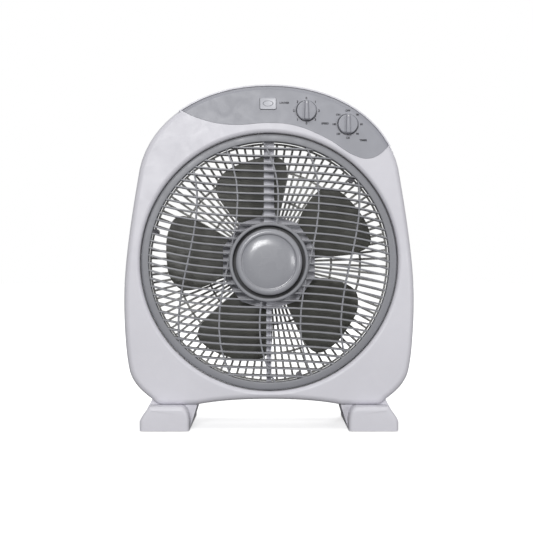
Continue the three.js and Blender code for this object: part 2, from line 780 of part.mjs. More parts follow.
// One bell as a profile of [radius, distance from the flat end towards the stator].
function bell(flatY, inward) {
  const depth = bellHalfLength - statorHalfLength - gap;
  const pocket = bushRadius + gap;
  const profile = [
    [shaftRadius + 2, -4],
    [13, -4],
    [13, 0],
    [motorRadius - 4, 0],
    [motorRadius, 4],
    [motorRadius, depth],
    [motorRadius - 3, depth],
    [motorRadius - 3, 5],
    [motorRadius - 5, 3],
    [12, 3],
    [12, bushLength - 1.7],
    [pocket, bushLength - 1.7],
    [pocket, -2.3],
    [shaftRadius + 2, -2.3],
  ].map(([radius, distance]) => [radius, flatY + inward * distance]);
  if (inward < 0) profile.reverse();
  const ends = [flatY, flatY + inward * depth].sort((a, b) => a - b);
  const posts = motorBoltAngles.map((angle) =>
    rod(5, ...ends, bossSides, ...onCircle(motorBoltRadius, angle)),
  );
  const inside = rod(motorRadius - 1, -beyond, beyond, motorSides);
  const body = join([turned(profile, motorSides), ...posts.map((post) => post.intersect(inside))]);
  return cut(body, motorBoltHoles());
}

function bush(flatY, inward) {
  const y0 = flatY - inward * 2;
  const y1 = y0 + inward * bushLength;
  return tube(shaftRadius + gap, bushRadius, Math.min(y0, y1), Math.max(y0, y1), 24);
}

function stator() {
  const [y0, y1] = [motorMiddleY - statorHalfLength, motorMiddleY + statorHalfLength];
  return cut(tube(statorBore, motorRadius, y0, y1, motorSides), motorBoltHoles());
}

function winding(side) {
  const start = motorMiddleY + side * (statorHalfLength + gap);
  const end = start + side * 8;
  const [y0, y1] = [Math.min(start, end), Math.max(start, end)];
  return turned(
    [
      [statorBore + 1.5, y0 + 2],
      [statorBore + 3, y0],
      [motorBoltRadius - 5.5, y0],
      [motorBoltRadius - 5.5, y1],
      [statorBore + 3, y1],
      [statorBore + 1.5, y1 - 2],
    ],
    motorSides,
  );
}

function rotor() {
  const radius = statorBore - airGap;
  const half = statorHalfLength - 0.5;
  const core = tube(shaftRadius + gap, radius, motorMiddleY - half, motorMiddleY + half, motorSides);
  const ringHalf = half + 2.5;
  const [ringStart, ringEnd] = [motorMiddleY - ringHalf, motorMiddleY + ringHalf];
  const rings = tube(radius - 11.5, radius - 2.5, ringStart, ringEnd, motorSides);
  return core.add(rings);
}

function motorBolt(angle) {
  const [x, z] = onCircle(motorBoltRadius, angle);
  const seat = guardFrontY + guardPlateThickness + gap;
  const head = rod(4, seat, seat + 2.6, bossSides, x, z);
  return rod(screwRadius, frontFlatY + 4, seat + 0.5, holeSides, x, z).add(head);
}

// ---- controls ----
function knob({ x, z }) {
  const backY = trayFrontY - 0.5;
  const disc = turned(
    [
      [0, knobFrontY],
      [knobRadius - 1.2, knobFrontY],
      [knobRadius, knobFrontY + 1.2],
      [knobRadius + 0.4, backY],
      [0, backY],
    ],
    24,
    x,
    z,
  );
  const outline = shapeOf([
    [-2.2, knobRadius + 0.8],
    [-3.4, 0],
    [-3, -knobRadius + 0.6],
    [3, -knobRadius + 0.6],
    [3.4, 0],
    [2.2, knobRadius + 0.8],
  ].reverse());
  const grip = slab(outline, knobGripFrontY, knobFrontY + 2, 1).translate([x, 0, z]);
  const bore = rod(knobShaftRadius + gap, knobGripFrontY + 3, backY + 1, 16, x, z);
  return disc.add(grip).subtract(bore);
}

const knobShaft = ({ x, z }) => rod(knobShaftRadius, knobGripFrontY + 3 + gap, bodyFrontY + 8, 16, x, z);

// A switch or timer body: its collar passes through the tray, and its bore holds the knob's shaft.
function controlBody({ x, z }, body) {
  const collar = rod(collarRadius, trayFrontY + 0.5, bodyFrontY + 1, 16, x, z);
  return body.add(collar).subtract(rod(knobShaftRadius + gap, -beyond, bodyFrontY + 8 + gap, 16, x, z));
}

function speedSwitch() {
  const { x, z } = speedKnob;
  const can = box(x - 14, x + 14, bodyFrontY, bodyFrontY + 16, z - 14, z + 14);
  const blades = [-9, -3, 3, 9].map((at) =>
    box(x + at - 0.4, x + at + 0.4, bodyFrontY + 15, bodyFrontY + 24, z - 3, z + 3),
  );
  return controlBody(speedKnob, join([can, ...blades]));
}

function timerBody() {
  const { x, z } = timerKnob;
  const plate = rod(19.5, bodyFrontY, bodyFrontY + 3, 24, x, z);
  const can = rod(18, bodyFrontY + 2, bodyFrontY + 32, 24, x, z);
  const tabs = [-6, 6].map((at) =>
    box(x + at - 0.4, x + at + 0.4, bodyFrontY + 31, bodyFrontY + 38, z - 3, z + 3),
  );
  return controlBody(timerKnob, join([plate, can, ...tabs]));
}

function louverButtonPiece() {
  const { x, z } = louverButton;
  const backY = trayBackY - buttonTravel + 0.1 - gap;
  const cap = slab(
    shapeOf([
      [x - buttonWidth / 2, z - buttonHeight / 2],
      [x + buttonWidth / 2, z - buttonHeight / 2],
      [x + buttonWidth / 2, z + buttonHeight / 2],
      [x - buttonWidth / 2, z + buttonHeight / 2],
    ]),
    buttonFrontY,
    backY,
    0.8,
  );
  const stem = box(x - 4, x + 4, backY - 1, bodyFrontY + 7, z - 3, z + 3);
  return cap.add(stem);
}

function louverSwitch() {
  const { x, z } = louverButton;
  const body = box(x - 14.5, x + 14.5, bodyFrontY, bodyFrontY + 16, z - 10, z + 10);
  const well = box(x - 4.4, x + 4.4, bodyFrontY - 5, bodyFrontY + 7.5 + buttonTravel, z - 3.4, z + 3.4);
  const tabs = [-8, 8].map((at) =>
    box(x + at - 3, x + at + 3, bodyFrontY + 15, bodyFrontY + 23, z - 0.4, z + 0.4),
  );
  return join([body, ...tabs]).subtract(well);
}

function capacitor() {
  const { x, z } = capacitorPlace;
  const [halfLength, halfHeight] = [22, 9];
  const shape = shapeOf([
    [x - halfLength, z - halfHeight],
    [x + halfLength, z - halfHeight],
    [x + halfLength, z + halfHeight],
    [x - halfLength, z + halfHeight],
  ]);
  return slab(shape, bodyFrontY, bodyFrontY + 26, 1.2);
}

function cordGland() {
  return turned(
    [
      [3.6, rearFaceY - 9],
      [glandBarrel, rearFaceY - 9],
      [glandBarrel, rearFaceY + gap],
      [glandBarrel + 3, rearFaceY + gap],
      [glandBarrel + 2.4, rearFaceY + 3],
      [5.2, rearFaceY + 9],
      [3.6, rearFaceY + 9],
    ],
    12,
    glandX,
    glandZ,
  );
}

// ---- feet ----
function foot(side) {
  const saddle = slab(
    shapeOf([
      [footInnerX, footClearance],
      [footOuterX, footClearance],
      [footOuterX, footShoulder],
      [footOuterX - 15.5, footTop + 7.5],
      [footOuterX - 30, footTop + 7.5],
      [footOuterX - 36, footTop - gap],
      [footInnerX - 10, footTop - gap],
    ]),
    frontFaceY + saddleInset,
    rearFaceY - saddleInset,
  );
  const nose = new THREE.Shape();
  nose.moveTo(footInnerX, footClearance);
  nose.lineTo(footOuterX, footClearance);
  nose.lineTo(footOuterX, footShoulder);
  nose.quadraticCurveTo(footOuterX - 1.5, footShoulder + 7, footOuterX - 12.5, footTop - 2);
  nose.quadraticCurveTo(footOuterX - 14, footTop, footOuterX - 16.5, footTop);
  nose.lineTo(footInnerX + 12, footTop);
  nose.quadraticCurveTo(footInnerX + 1.5, footTop - 1.5, footInnerX, footTop - 20);
  const toes = slab(nose, -footHalfLength, footHalfLength, 0, 3);
  const along = (inset) => {
    const end = footHalfLength - inset;
    const low = inset > 0 ? -5 : footClearance;
    return [
      [-end, low],
      [end, low],
      [end, footFrontHeight - inset],
      [end - 10, footTop - inset],
      [rearFaceY - saddleInset, footTop - inset],
      [rearFaceY - saddleInset, footTop + 12 - inset],
      [frontFaceY + saddleInset, footTop + 12 - inset],
      [frontFaceY + saddleInset, footTop - inset],
      [-end + 10, footTop - inset],
      [-end, footFrontHeight - inset],
    ];
  };
  const outside = saddle.add(toes).intersect(sideSlab(along(0), 0, 300));
  const thick = 3.5;
  const inside = slab(
    shapeOf([
      [footInnerX + thick, -5],
      [footOuterX - thick, -5],
      [footOuterX - thick, footShoulder - 2],
      [footOuterX - thick - 12, footTop - thick - 1],
      [footInnerX + thick + 9, footTop - thick - 1],
      [footInnerX + thick, footTop - thick - 10],
    ]),
    -footHalfLength,
    footHalfLength,
  ).intersect(sideSlab(along(thick), 0, 300));
  const columns = [
    ...[-padY, padY].map((y) => uprightRod(padRadius + 3, footClearance, footTop - 4, padX, y, 12)),
    ...footScrewYs.map((y) =>
      uprightRod(screwHeadRadius + 4, footClearance, footTop - 2, footScrewX, y, 12),
    ),
  ];
  const hollowFoot = outside.subtract(inside).add(join(columns).intersect(outside));
  const tools = [
    ...[-padY, padY].map((y) => uprightRod(padRadius + 2 * gap, -5, padTop + gap, padX, y, 16)),
    ...footScrewYs.map((y) => uprightRod(headHole + 1, -5, footScrewSeat, footScrewX, y, bossSides)),
    ...footScrewYs.map((y) => uprightRod(looseHole, -5, footScrewHeight, footScrewX, y, holeSides)),
    slab(insetOutline(-gap), frontFaceY - gap, rearFaceY + gap),
  ];
  const finished = cut(hollowFoot, tools);
  return side > 0 ? finished : finished.mirror([1, 0, 0]);
}

const footPad = (side, y) => uprightRod(padRadius, 0, padTop, side * padX, y, 16);

function footScrew(side, y) {
  const x = side * footScrewX;
  const head = uprightRod(screwHeadRadius + 1, footScrewSeat - 2.8, footScrewSeat - gap, x, y, bossSides);
  return head.add(uprightRod(screwRadius, footScrewSeat - 1, footScrewHeight - 4, x, y, holeSides));
}

// A screw along Y: its head sits behind headY, and its thread runs to tipY.
function screw([x, z], headY, tipY) {
  const towards = Math.sign(tipY - headY);
  const ends = (a, b) => [Math.min(a, b), Math.max(a, b)];
  const head = rod(screwHeadRadius, ...ends(headY, headY - towards * screwHeadHeight), bossSides, x, z);
  return head.add(rod(screwRadius, ...ends(headY - towards, tipY), holeSides, x, z));
}

// ---- assembly ----
const fan = new THREE.Group();

function add(name, body, look) {
  const mesh = new THREE.Mesh(geometryOf(body), looks[look]());
  mesh.name = name;
  fan.add(mesh);
}

add("front_casing", frontCasing(), "casing");
add("rear_casing", rearCasing(), "casing");
add("control_panel", controlPanel(), "panel");
add("rear_guard", rearGuard(), "guard");
add("front_spider", frontSpider(), "frame");
add("lead_clip", leadClip(), "black");
add("louver_motor", louverMotor(), "steel");
add("louver_motor_shaft", louverShaft(), "steel");
add("louver_grille", louverGrille(), "grille");
add("centre_cap", centreCap(), "cap");
add("fan_impeller", impeller(), "blade");
add("spinner_nut", spinnerNut(), "black");
add("motor_shaft", motorShaft(), "steel");
add("drive_pin", drivePin(), "steel");
add("motor_rotor", rotor(), "aluminium");
add("motor_stator", stator(), "steel");
add("winding_front", winding(-1), "copper");
add("winding_rear", winding(1), "copper");
add("motor_front_bell", bell(frontFlatY, 1), "aluminium");
add("motor_rear_bell", bell(rearFlatY, -1), "aluminium");
add("bush_front", bush(frontFlatY, 1), "brass");
add("bush_rear", bush(rearFlatY, -1), "brass");
motorBoltAngles.forEach((angle, i) => add(`motor_bolt_${i + 1}`, motorBolt(angle), "steel"));
add("speed_knob", knob(speedKnob), "panel");
add("speed_switch_shaft", knobShaft(speedKnob), "brass");
add("speed_switch", speedSwitch(), "black");
add("timer_knob", knob(timerKnob), "panel");
add("timer_shaft", knobShaft(timerKnob), "brass");
add("timer_mechanism", timerBody(), "aluminium");
add("louver_button", louverButtonPiece(), "panel");
add("louver_switch", louverSwitch(), "black");
add("capacitor", capacitor(), "black");
add("cord_gland", cordGland(), "black");

const sideNames = [[-1, "left"], [1, "right"]];
for (const [side, word] of sideNames) {
  add(`foot_${word}`, foot(side), "casing");
  add(`foot_pad_${word}_front`, footPad(side, -padY), "rubber");
  add(`foot_pad_${word}_rear`, footPad(side, padY), "rubber");
  add(`foot_screw_${word}_front`, footScrew(side, footScrewYs[0]), "steel");
  add(`foot_screw_${word}_rear`, footScrew(side, footScrewYs[1]), "steel");
}
caseScrewPlaces.forEach((place, i) => {
  add(`casing_screw_${i + 1}`, screw(place, wellFloorY + gap, frontBossY + 3), "steel");
});
armAngles.forEach((angle, i) => {
  const place = onCircle(seatCircle, angle);
  add(`spider_screw_${i + 1}`, screw(place, spiderFrontY - gap, spiderBackY + 8), "steel");
});
guardScrewAngles.forEach((angle, i) => {
  const place = onCircle(seatCircle, angle);
  const seat = guardFrontY + guardPlateThickness + gap;
  add(`guard_screw_${i + 1}`, screw(place, seat, guardFrontY - 9), "steel");
});

export default fan;
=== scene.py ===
# %% [markdown]
# # A box fan, modelled and finished in Blender
# The fan already exists as a working model: solids with joints that turn and press. This lesson
# loads that model as a fixed frame and builds the visible surfaces round it: two moulded shells,
# a grey control panel, a louver grille that turns slowly, a dark impeller behind it and a ribbed
# guard at the back. Everything is in metres, +Z is up and the front of the fan faces -Y.

# %% Load the frame
import math

import bmesh
import bpy
from mathutils import Matrix, Vector


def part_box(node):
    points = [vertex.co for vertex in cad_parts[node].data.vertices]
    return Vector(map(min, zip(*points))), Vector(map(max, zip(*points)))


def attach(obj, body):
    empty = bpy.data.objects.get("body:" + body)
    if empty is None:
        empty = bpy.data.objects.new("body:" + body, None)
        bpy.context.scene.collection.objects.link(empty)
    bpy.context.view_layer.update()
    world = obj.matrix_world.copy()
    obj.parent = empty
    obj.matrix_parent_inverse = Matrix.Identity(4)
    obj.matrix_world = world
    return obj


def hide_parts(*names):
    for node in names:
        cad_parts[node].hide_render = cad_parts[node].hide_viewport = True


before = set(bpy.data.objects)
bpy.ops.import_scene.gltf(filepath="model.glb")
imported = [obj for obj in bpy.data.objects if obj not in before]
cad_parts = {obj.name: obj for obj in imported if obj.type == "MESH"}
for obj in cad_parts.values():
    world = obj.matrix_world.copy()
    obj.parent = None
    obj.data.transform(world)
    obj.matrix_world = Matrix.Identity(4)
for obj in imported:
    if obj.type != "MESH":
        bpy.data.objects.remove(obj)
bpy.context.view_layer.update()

# %% [markdown]
# ## The sizes that everything follows
# The frame says where each solid lies, so most places are read from it. A few sizes that no box
# can tell, such as the fillet of a lip or the wave of a louver, are named here in metres.

# %% Sizes read from the frame and sizes of its curves
MM = 0.001
GRILLE_LOW, GRILLE_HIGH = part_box("louver_grille")
CASE_LOW, CASE_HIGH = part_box("front_casing")
REAR_LOW, REAR_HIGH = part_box("rear_casing")
AXIS_Z = (GRILLE_LOW.z + GRILLE_HIGH.z) / 2
FRONT_Y = CASE_LOW.y
PARTING_Y = CASE_HIGH.y
REAR_Y = REAR_HIGH.y
HALF_WIDTH = CASE_HIGH.x
CROWN_Z = CASE_HIGH.z
FOOT_TOP_Z = CASE_LOW.z
DUCT_RADIUS = 187 * MM
MOUTH_FILLET = 6 * MM
FRONT_FILLET = 9 * MM
REAR_FILLET = 12 * MM
WALL = 2.5 * MM
GAP = 0.3 * MM
RIM_OUTER = 185.3 * MM
RIM_INNER = 174.6 * MM
HUB_OUTER = 57.7 * MM
HUB_INNER = 52.8 * MM
print("fan axis at", round(AXIS_Z, 4), "m; casing from y", round(FRONT_Y, 4), "to", round(REAR_Y, 4))

# %% [markdown]
# ## Camera, floor and light
# The fan is looked at straight on from the height of its axis, as in a catalogue. The camera is
# about a metre and a half away. Four soft lights shape the fan: a key light above the camera, a
# weaker one low at the right, a wide one overhead and one behind. The world looks white to the
# camera, but it lights the fan much less, because an even white light leaves no shadows at all.

# %% Camera and studio
CAMERA_DISTANCE = 1.5
FRAME_WIDTH = 0.769  # how much of the front plane the picture takes in
camera_data = bpy.data.cameras.new("studio_camera")
camera_data.sensor_width = 36
camera_data.lens = camera_data.sensor_width * CAMERA_DISTANCE / FRAME_WIDTH
camera = bpy.data.objects.new("studio_camera", camera_data)
camera.location = (-3.6 * MM, FRONT_Y - CAMERA_DISTANCE, 236 * MM)
camera.rotation_euler = (math.pi / 2, 0, 0)
bpy.context.scene.collection.objects.link(camera)
bpy.context.scene.camera = camera
bpy.context.scene.view_settings.view_transform = "Standard"


def area_light(name, place, aim, size, power):
    light = bpy.data.lights.new(name, "AREA")
    light.shape = "RECTANGLE"
    light.size, light.size_y = size
    light.energy = power
    lamp = bpy.data.objects.new(name, light)
    lamp.location = place
    lamp.rotation_euler = (Vector(aim) - Vector(place)).to_track_quat("-Z", "Y").to_euler()
    bpy.context.scene.collection.objects.link(lamp)
    return lamp


AIM = (0, 0, 0.25)
area_light("key_light", (-0.35, -2.3, 0.95), AIM, (0.7, 0.6), 26)
area_light("front_light", (1.3, -2.1, 0.36), AIM, (0.6, 0.4), 10)
area_light("top_light", (0, -0.2, 2.3), AIM, (2.2, 1.6), 16)
area_light("rear_light", (0.9, 2.4, 1.5), AIM, (1.2, 1.0), 16)

WORLD_LIGHT, WORLD_SEEN = 0.33, 1.0  # strength as light on the fan, and as background
world = bpy.data.worlds.new("white_world")
world.use_nodes = True
sky = world.node_tree.nodes["Background"]
sky.inputs["Color"].default_value = (1, 1, 1, 1)
seen = world.node_tree.nodes.new("ShaderNodeLightPath")
strength = world.node_tree.nodes.new("ShaderNodeMapRange")
strength.inputs["To Min"].default_value = WORLD_LIGHT
strength.inputs["To Max"].default_value = WORLD_SEEN
world.node_tree.links.new(seen.outputs["Is Camera Ray"], strength.inputs["Value"])
world.node_tree.links.new(strength.outputs["Result"], sky.inputs["Strength"])
bpy.context.scene.world = world
print("camera lens", round(camera_data.lens, 1), "mm")

# %% [markdown]
# ## Small tools for modelling
# Blender's operators work on whatever is selected, so each tool below first makes the selection
# certain. Faces, edges and points are picked by where they are, as a hand would pick them.

# %% Selecting, editing and finishing


def clear_selection():
    if bpy.context.object and bpy.context.object.mode != "OBJECT":
        bpy.ops.object.mode_set(mode="OBJECT")
    bpy.ops.object.select_all(action="DESELECT")


def activate(piece):
    clear_selection()
    piece.select_set(True)
    bpy.context.view_layer.objects.active = piece


def edit(piece):
    activate(piece)
    bpy.ops.object.mode_set(mode="EDIT")
    bpy.ops.mesh.select_all(action="DESELECT")


def edit_all(piece):
    edit(piece)
    bpy.ops.mesh.select_all(action="SELECT")


def stop_editing():
    bpy.ops.object.mode_set(mode="OBJECT")


def pick(piece, kind, test):
    """In edit mode, selects the faces, edges or points whose middle passes the test."""
    bpy.ops.mesh.select_mode(type=kind)
    bpy.ops.mesh.select_all(action="DESELECT")
    cells = bmesh.from_edit_mesh(piece.data)
    if kind == "FACE":
        for face in cells.faces:
            face.select = test(face.calc_center_median(), face.normal)
    elif kind == "EDGE":
        for edge in cells.edges:
            edge.select = test(*(point.co for point in edge.verts))
    else:
        for point in cells.verts:
            point.select = test(point.co)
    cells.select_flush_mode()
    bmesh.update_edit_mesh(piece.data)


def name_new(name):
    piece = bpy.context.object
    piece.name = name
    piece.data.name = name
    return piece


def settle(piece):
    """Applies the object's place, turn and scale to its mesh."""
    activate(piece)
    bpy.ops.object.transform_apply(location=True, rotation=True, scale=True)


def modify(piece, kind, **settings):
    activate(piece)
    modifier = piece.modifiers.new(kind.lower(), kind)
    for key, value in settings.items():
        setattr(modifier, key, value)
    bpy.ops.object.modifier_apply(modifier=modifier.name)


def combine(piece, tool, operation):
    """Cuts, joins or intersects a piece with a tool, which is then thrown away."""
    modify(piece, "BOOLEAN", object=tool, operation=operation, solver="EXACT")
    bpy.data.objects.remove(tool)


def join_pieces(pieces, name):
    clear_selection()
    for piece in pieces:
        piece.select_set(True)
    bpy.context.view_layer.objects.active = pieces[0]
    bpy.ops.object.join()
    return name_new(name)


def twin(piece, name):
    """A copy with its own mesh."""
    copy = piece.copy()
    copy.data = piece.data.copy()
    copy.name = name
    bpy.context.scene.collection.objects.link(copy)
    return copy


def tidy_normals(piece, weld=1e-6):
    edit_all(piece)
    bpy.ops.mesh.remove_doubles(threshold=weld)
    bpy.ops.mesh.normals_make_consistent(inside=False)
    stop_editing()


def smooth(piece, degrees=35):
    activate(piece)
    bpy.ops.object.shade_smooth_by_angle(angle=math.radians(degrees))


def finish(piece):
    tidy_normals(piece)
    smooth(piece)


def round_picked(offset, segments, profile=0.5):
    """Rounds the edges that are picked, by the full offset even where it is a tight fit."""
    bpy.ops.mesh.bevel(offset=offset, segments=segments, profile=profile, affect="EDGES", clamp_overlap=False)


def box_middle(name):
    """The middle of a solid's box, seen from the front."""
    low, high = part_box(name)
    return (low.x + high.x) / 2, (low.z + high.z) / 2


def in_mm(pairs):
    return [(a * MM, b * MM) for a, b in pairs]


def smooth_flats(piece):
    """Smooth shading in which the broad flat faces stay flat up to their rounded edges."""
    smooth(piece)
    modify(piece, "WEIGHTED_NORMAL", weight=80, keep_sharp=True)


print("modelling tools ready")

# %% [markdown]
# ## Shapes that come back again and again
# Three shapes make most of this fan: a cylinder lying along the fan axis, a profile turned round
# that axis, and a flat outline given thickness. The outline is drawn as a Bezier curve, because
# four or five good handles describe a moulded casing better than a hundred points.

# %% Cylinders, turned profiles and plates


def cylinder(name, radius, y0, y1, x=0.0, z=AXIS_Z, sides=64):
    clear_selection()
    bpy.ops.mesh.primitive_cylinder_add(vertices=sides, radius=radius, depth=y1 - y0,
                                        location=(x, (y0 + y1) / 2, z), rotation=(math.pi / 2, 0, 0))
    piece = name_new(name)
    settle(piece)
    return piece


def add_boss(piece, radius, y0, y1, x=0.0, z=AXIS_Z, sides=24):
    combine(piece, cylinder("boss", radius, y0, y1, x, z, sides), "UNION")


def drill(piece, radius, y0, y1, x=0.0, z=AXIS_Z, sides=24):
    combine(piece, cylinder("drill", radius, y0, y1, x, z, sides), "DIFFERENCE")


def block(name, low, high):
    clear_selection()
    middle = [(a + b) / 2 for a, b in zip(low, high)]
    bpy.ops.mesh.primitive_cube_add(size=1, location=middle)
    piece = name_new(name)
    piece.scale = [b - a for a, b in zip(low, high)]
    settle(piece)
    return piece


def turned(name, profile, sides=128, x=0.0, z=AXIS_Z):
    """A profile of (radius, y) points, drawn by extruding one point and spun round an axis."""
    clear_selection()
    bpy.ops.mesh.primitive_plane_add(size=MM, location=(0, 0, 0))
    piece = name_new(name)
    edit(piece)
    bpy.ops.mesh.select_mode(type="VERT")
    bpy.ops.mesh.select_all(action="SELECT")
    bpy.ops.mesh.merge(type="CENTER")
    radius, y = profile[0]
    bpy.ops.transform.translate(value=(x + radius, y, z))
    for before, after in zip(profile, profile[1:]):
        step = (after[0] - before[0], after[1] - before[1], 0)
        bpy.ops.mesh.extrude_region_move(TRANSFORM_OT_translate={"value": step})
    bpy.ops.mesh.select_all(action="SELECT")
    bpy.ops.mesh.spin(steps=sides, angle=2 * math.pi, center=(x, 0, z), axis=(0, 1, 0))
    stop_editing()
    tidy_normals(piece, weld=2e-6)
    return piece


def arc(middle_radius, middle_y, size, start, end, steps=6):
    """Points of an arc in a (radius, y) profile, angles in degrees from the radius direction."""
    points = []
    for i in range(steps + 1):
        angle = math.radians(start + (end - start) * i / steps)
        points.append((middle_radius + size * math.cos(angle), middle_y + size * math.sin(angle)))
    return points


def bezier_outline(name, knots, closed=True, fineness=16):
    """A flat curve in the XZ plane. Each knot is (point, handle before, handle after)."""
    clear_selection()
    bpy.ops.curve.primitive_bezier_curve_add(location=(0, 0, 0))
    piece = name_new(name)
    curve = piece.data
    curve.dimensions = "3D"
    curve.resolution_u = fineness
    spline = curve.splines[0]
    spline.bezier_points.add(len(knots) - 2)
    for knot, (point, before, after) in zip(spline.bezier_points, knots):
        knot.handle_left_type = knot.handle_right_type = "FREE"
        knot.co = (point[0], 0, point[1])
        knot.handle_left = (before[0], 0, before[1])
        knot.handle_right = (after[0], 0, after[1])
    spline.use_cyclic_u = closed
    return piece


def towards(start, end, share):
    return (start[0] + (end[0] - start[0]) * share, start[1] + (end[1] - start[1]) * share)


def plate_from(curve, y_front, y_back):
    """Turns a closed flat curve into a solid plate between two depths."""
    activate(curve)
    bpy.ops.object.convert(target="MESH")
    piece = bpy.context.object
    edit_all(piece)
    bpy.ops.mesh.remove_doubles(threshold=1e-5)
    bpy.ops.transform.translate(value=(0, y_back, 0))
    bpy.ops.mesh.edge_face_add()
    bpy.ops.mesh.extrude_region_move(TRANSFORM_OT_translate={"value": (0, y_front - y_back, 0)})
    stop_editing()
    tidy_normals(piece)
    return piece


print("shape tools ready")

# %% [markdown]
# ## The casing's outline
# Seen from the front the casing is a broad arch: a round crown, shoulders that swell towards the
# base, corners that turn under to the feet, and a shallow arch between them. The same handles
# are mirrored for the left side, so the two halves can't differ.

# %% Outline of the casing
SHOULDER_Z = 378 * MM
SHOULDER_X = HALF_WIDTH - 22.5 * MM
WIDEST_Z = 190 * MM
BASE_CORNER_Z = 90 * MM
ARCH_Z = 44 * MM
FOOT_OUTER_X = 185 * MM
FOOT_INNER_X = 114 * MM


def outline_knots():
    corner = (FOOT_OUTER_X - 16.5 * MM, FOOT_TOP_Z + 7.5 * MM)
    flat_end = (FOOT_OUTER_X - 32 * MM, FOOT_TOP_Z)
    flat_start = (FOOT_INNER_X - 10 * MM, FOOT_TOP_Z)
    turn = (FOOT_OUTER_X - 22 * MM, FOOT_TOP_Z)
    arch = (FOOT_INNER_X - 52 * MM, ARCH_Z)

    right = [
        ((SHOULDER_X, SHOULDER_Z), (HALF_WIDTH - 38 * MM, SHOULDER_Z + 70 * MM),
         (HALF_WIDTH - 16 * MM, SHOULDER_Z - 38 * MM)),
        ((HALF_WIDTH, WIDEST_Z), (HALF_WIDTH, WIDEST_Z + 60 * MM), (HALF_WIDTH, WIDEST_Z - 40 * MM)),
        ((HALF_WIDTH - 7 * MM, BASE_CORNER_Z), (HALF_WIDTH - 2.5 * MM, BASE_CORNER_Z + 22 * MM),
         (HALF_WIDTH - 10.5 * MM, BASE_CORNER_Z - 22 * MM)),
        (corner, (FOOT_OUTER_X - 1 * MM, FOOT_TOP_Z + 19 * MM), towards(corner, turn, 2 / 3)),
        (flat_end, towards(flat_end, turn, 2 / 3), towards(flat_end, flat_start, 1 / 3)),
        (flat_start, towards(flat_start, flat_end, 1 / 3), towards(flat_start, arch, 2 / 3)),
    ]
    crown_reach = HALF_WIDTH * 0.476
    crown = ((0, CROWN_Z), (-crown_reach, CROWN_Z), (crown_reach, CROWN_Z))
    low_arch = towards((0, ARCH_Z), arch, 2 / 3)
    middle = ((0, ARCH_Z), low_arch, (-low_arch[0], low_arch[1]))

    def mirrored(knot):
        point, before, after = [(-x, z) for x, z in knot]
        return (point, after, before)

    return [crown, *right, middle, *[mirrored(knot) for knot in reversed(right)]]


CASE_KNOTS = outline_knots()
print("the outline has", len(CASE_KNOTS), "handles")

# %% [markdown]
# ## The two shells
# Each shell is a tub: its rim follows the outline, its face has a big round mouth, and a duct
# wall runs back from the mouth. It could be carved from a block, but a skin that is given
# thickness at the end is lighter to model and gets an even wall. The skin starts as the
# outline, is drawn along the depth, closed, and its front edge is rounded with a bevel.

# %% A tub with a rounded edge, then its mouth and duct


def casing_body(name, y_open, y_face, fillet):
    """A solid of the casing's outline from the parting plane to its face, its far edge rounded."""
    curve = bezier_outline(name, CASE_KNOTS)
    solid = plate_from(curve, min(y_open, y_face), max(y_open, y_face))
    edit(solid)
    pick(solid, "EDGE", lambda a, b: abs(a.y - y_face) < 1e-5 and abs(b.y - y_face) < 1e-5)
    round_picked(fillet, 8)
    stop_editing()
    return solid


def hollow_out(solid, y_open):
    """Takes the parting face away and gives the skin its wall."""
    edit(solid)
    pick(solid, "FACE", lambda middle, normal: abs(middle.y - y_open) < 1e-5)
    bpy.ops.mesh.delete(type="FACE")
    stop_editing()
    modify(solid, "SOLIDIFY", thickness=WALL, offset=-1, use_even_offset=True, use_rim=True)


def mouth_plug(name, y_face, inward, fillet):
    """The air in the mouth and duct, to cut with. inward is +1 from the front, -1 from the back."""
    outside, far_end = y_face - inward * 8 * MM, y_face + inward * 150 * MM
    profile = [(0, outside), (DUCT_RADIUS + fillet, outside)]
    for i in range(9):
        angle = math.radians(90 * i / 8)
        lip_radius = DUCT_RADIUS + fillet * (1 - math.sin(angle))
        profile.append((lip_radius, y_face + inward * fillet * (1 - math.cos(angle))))
    profile += [(DUCT_RADIUS, far_end), (0, far_end)]
    return turned(name, profile, 160)


def soften(piece, width=0.4 * MM, segments=2, degrees=40):
    """Breaks every sharp edge, as a mould does."""
    modify(piece, "BEVEL", width=width, segments=segments, limit_method="ANGLE",
           angle_limit=math.radians(degrees), use_clamp_overlap=True)


def polar(radius, degrees):
    angle = math.radians(degrees)
    return radius * math.cos(angle), AXIS_Z + radius * math.sin(angle)


def rounded_block(name, low, high, radius, axis="Y", segments=8):
    """A block whose four edges along one axis are rounded."""
    piece = block(name, low, high)
    index = "XYZ".index(axis)
    edit(piece)
    pick(piece, "EDGE", lambda a, b: abs(a[index] - b[index]) > 1e-6)
    round_picked(radius, segments)
    stop_editing()
    return piece


SPIDER_EYES = [polar(180.5 * MM, angle) for angle in (90, 270)]  # where the spider is screwed on
SPIDER_SEAT_Y = -32.7 * MM
front_shell = casing_body("front_shell", PARTING_Y, FRONT_Y, FRONT_FILLET)
hollow_out(front_shell, PARTING_Y)
add_boss(front_shell, DUCT_RADIUS + WALL, FRONT_Y + MM, PARTING_Y, sides=160)
for x, z in SPIDER_EYES:
    add_boss(front_shell, 7.5 * MM, SPIDER_SEAT_Y, PARTING_Y, x, z)
print("front shell:", len(front_shell.data.polygons), "faces")

# %% [markdown]
# ## The control panel
# The grey panel is let into the top of the front shell. Its upper edge runs along the casing's
# outline a few millimetres inside it and its lower edge is one long wave. Cutting the same region
# out of the casing and out of a second copy of the casing's block makes panel and pocket match.

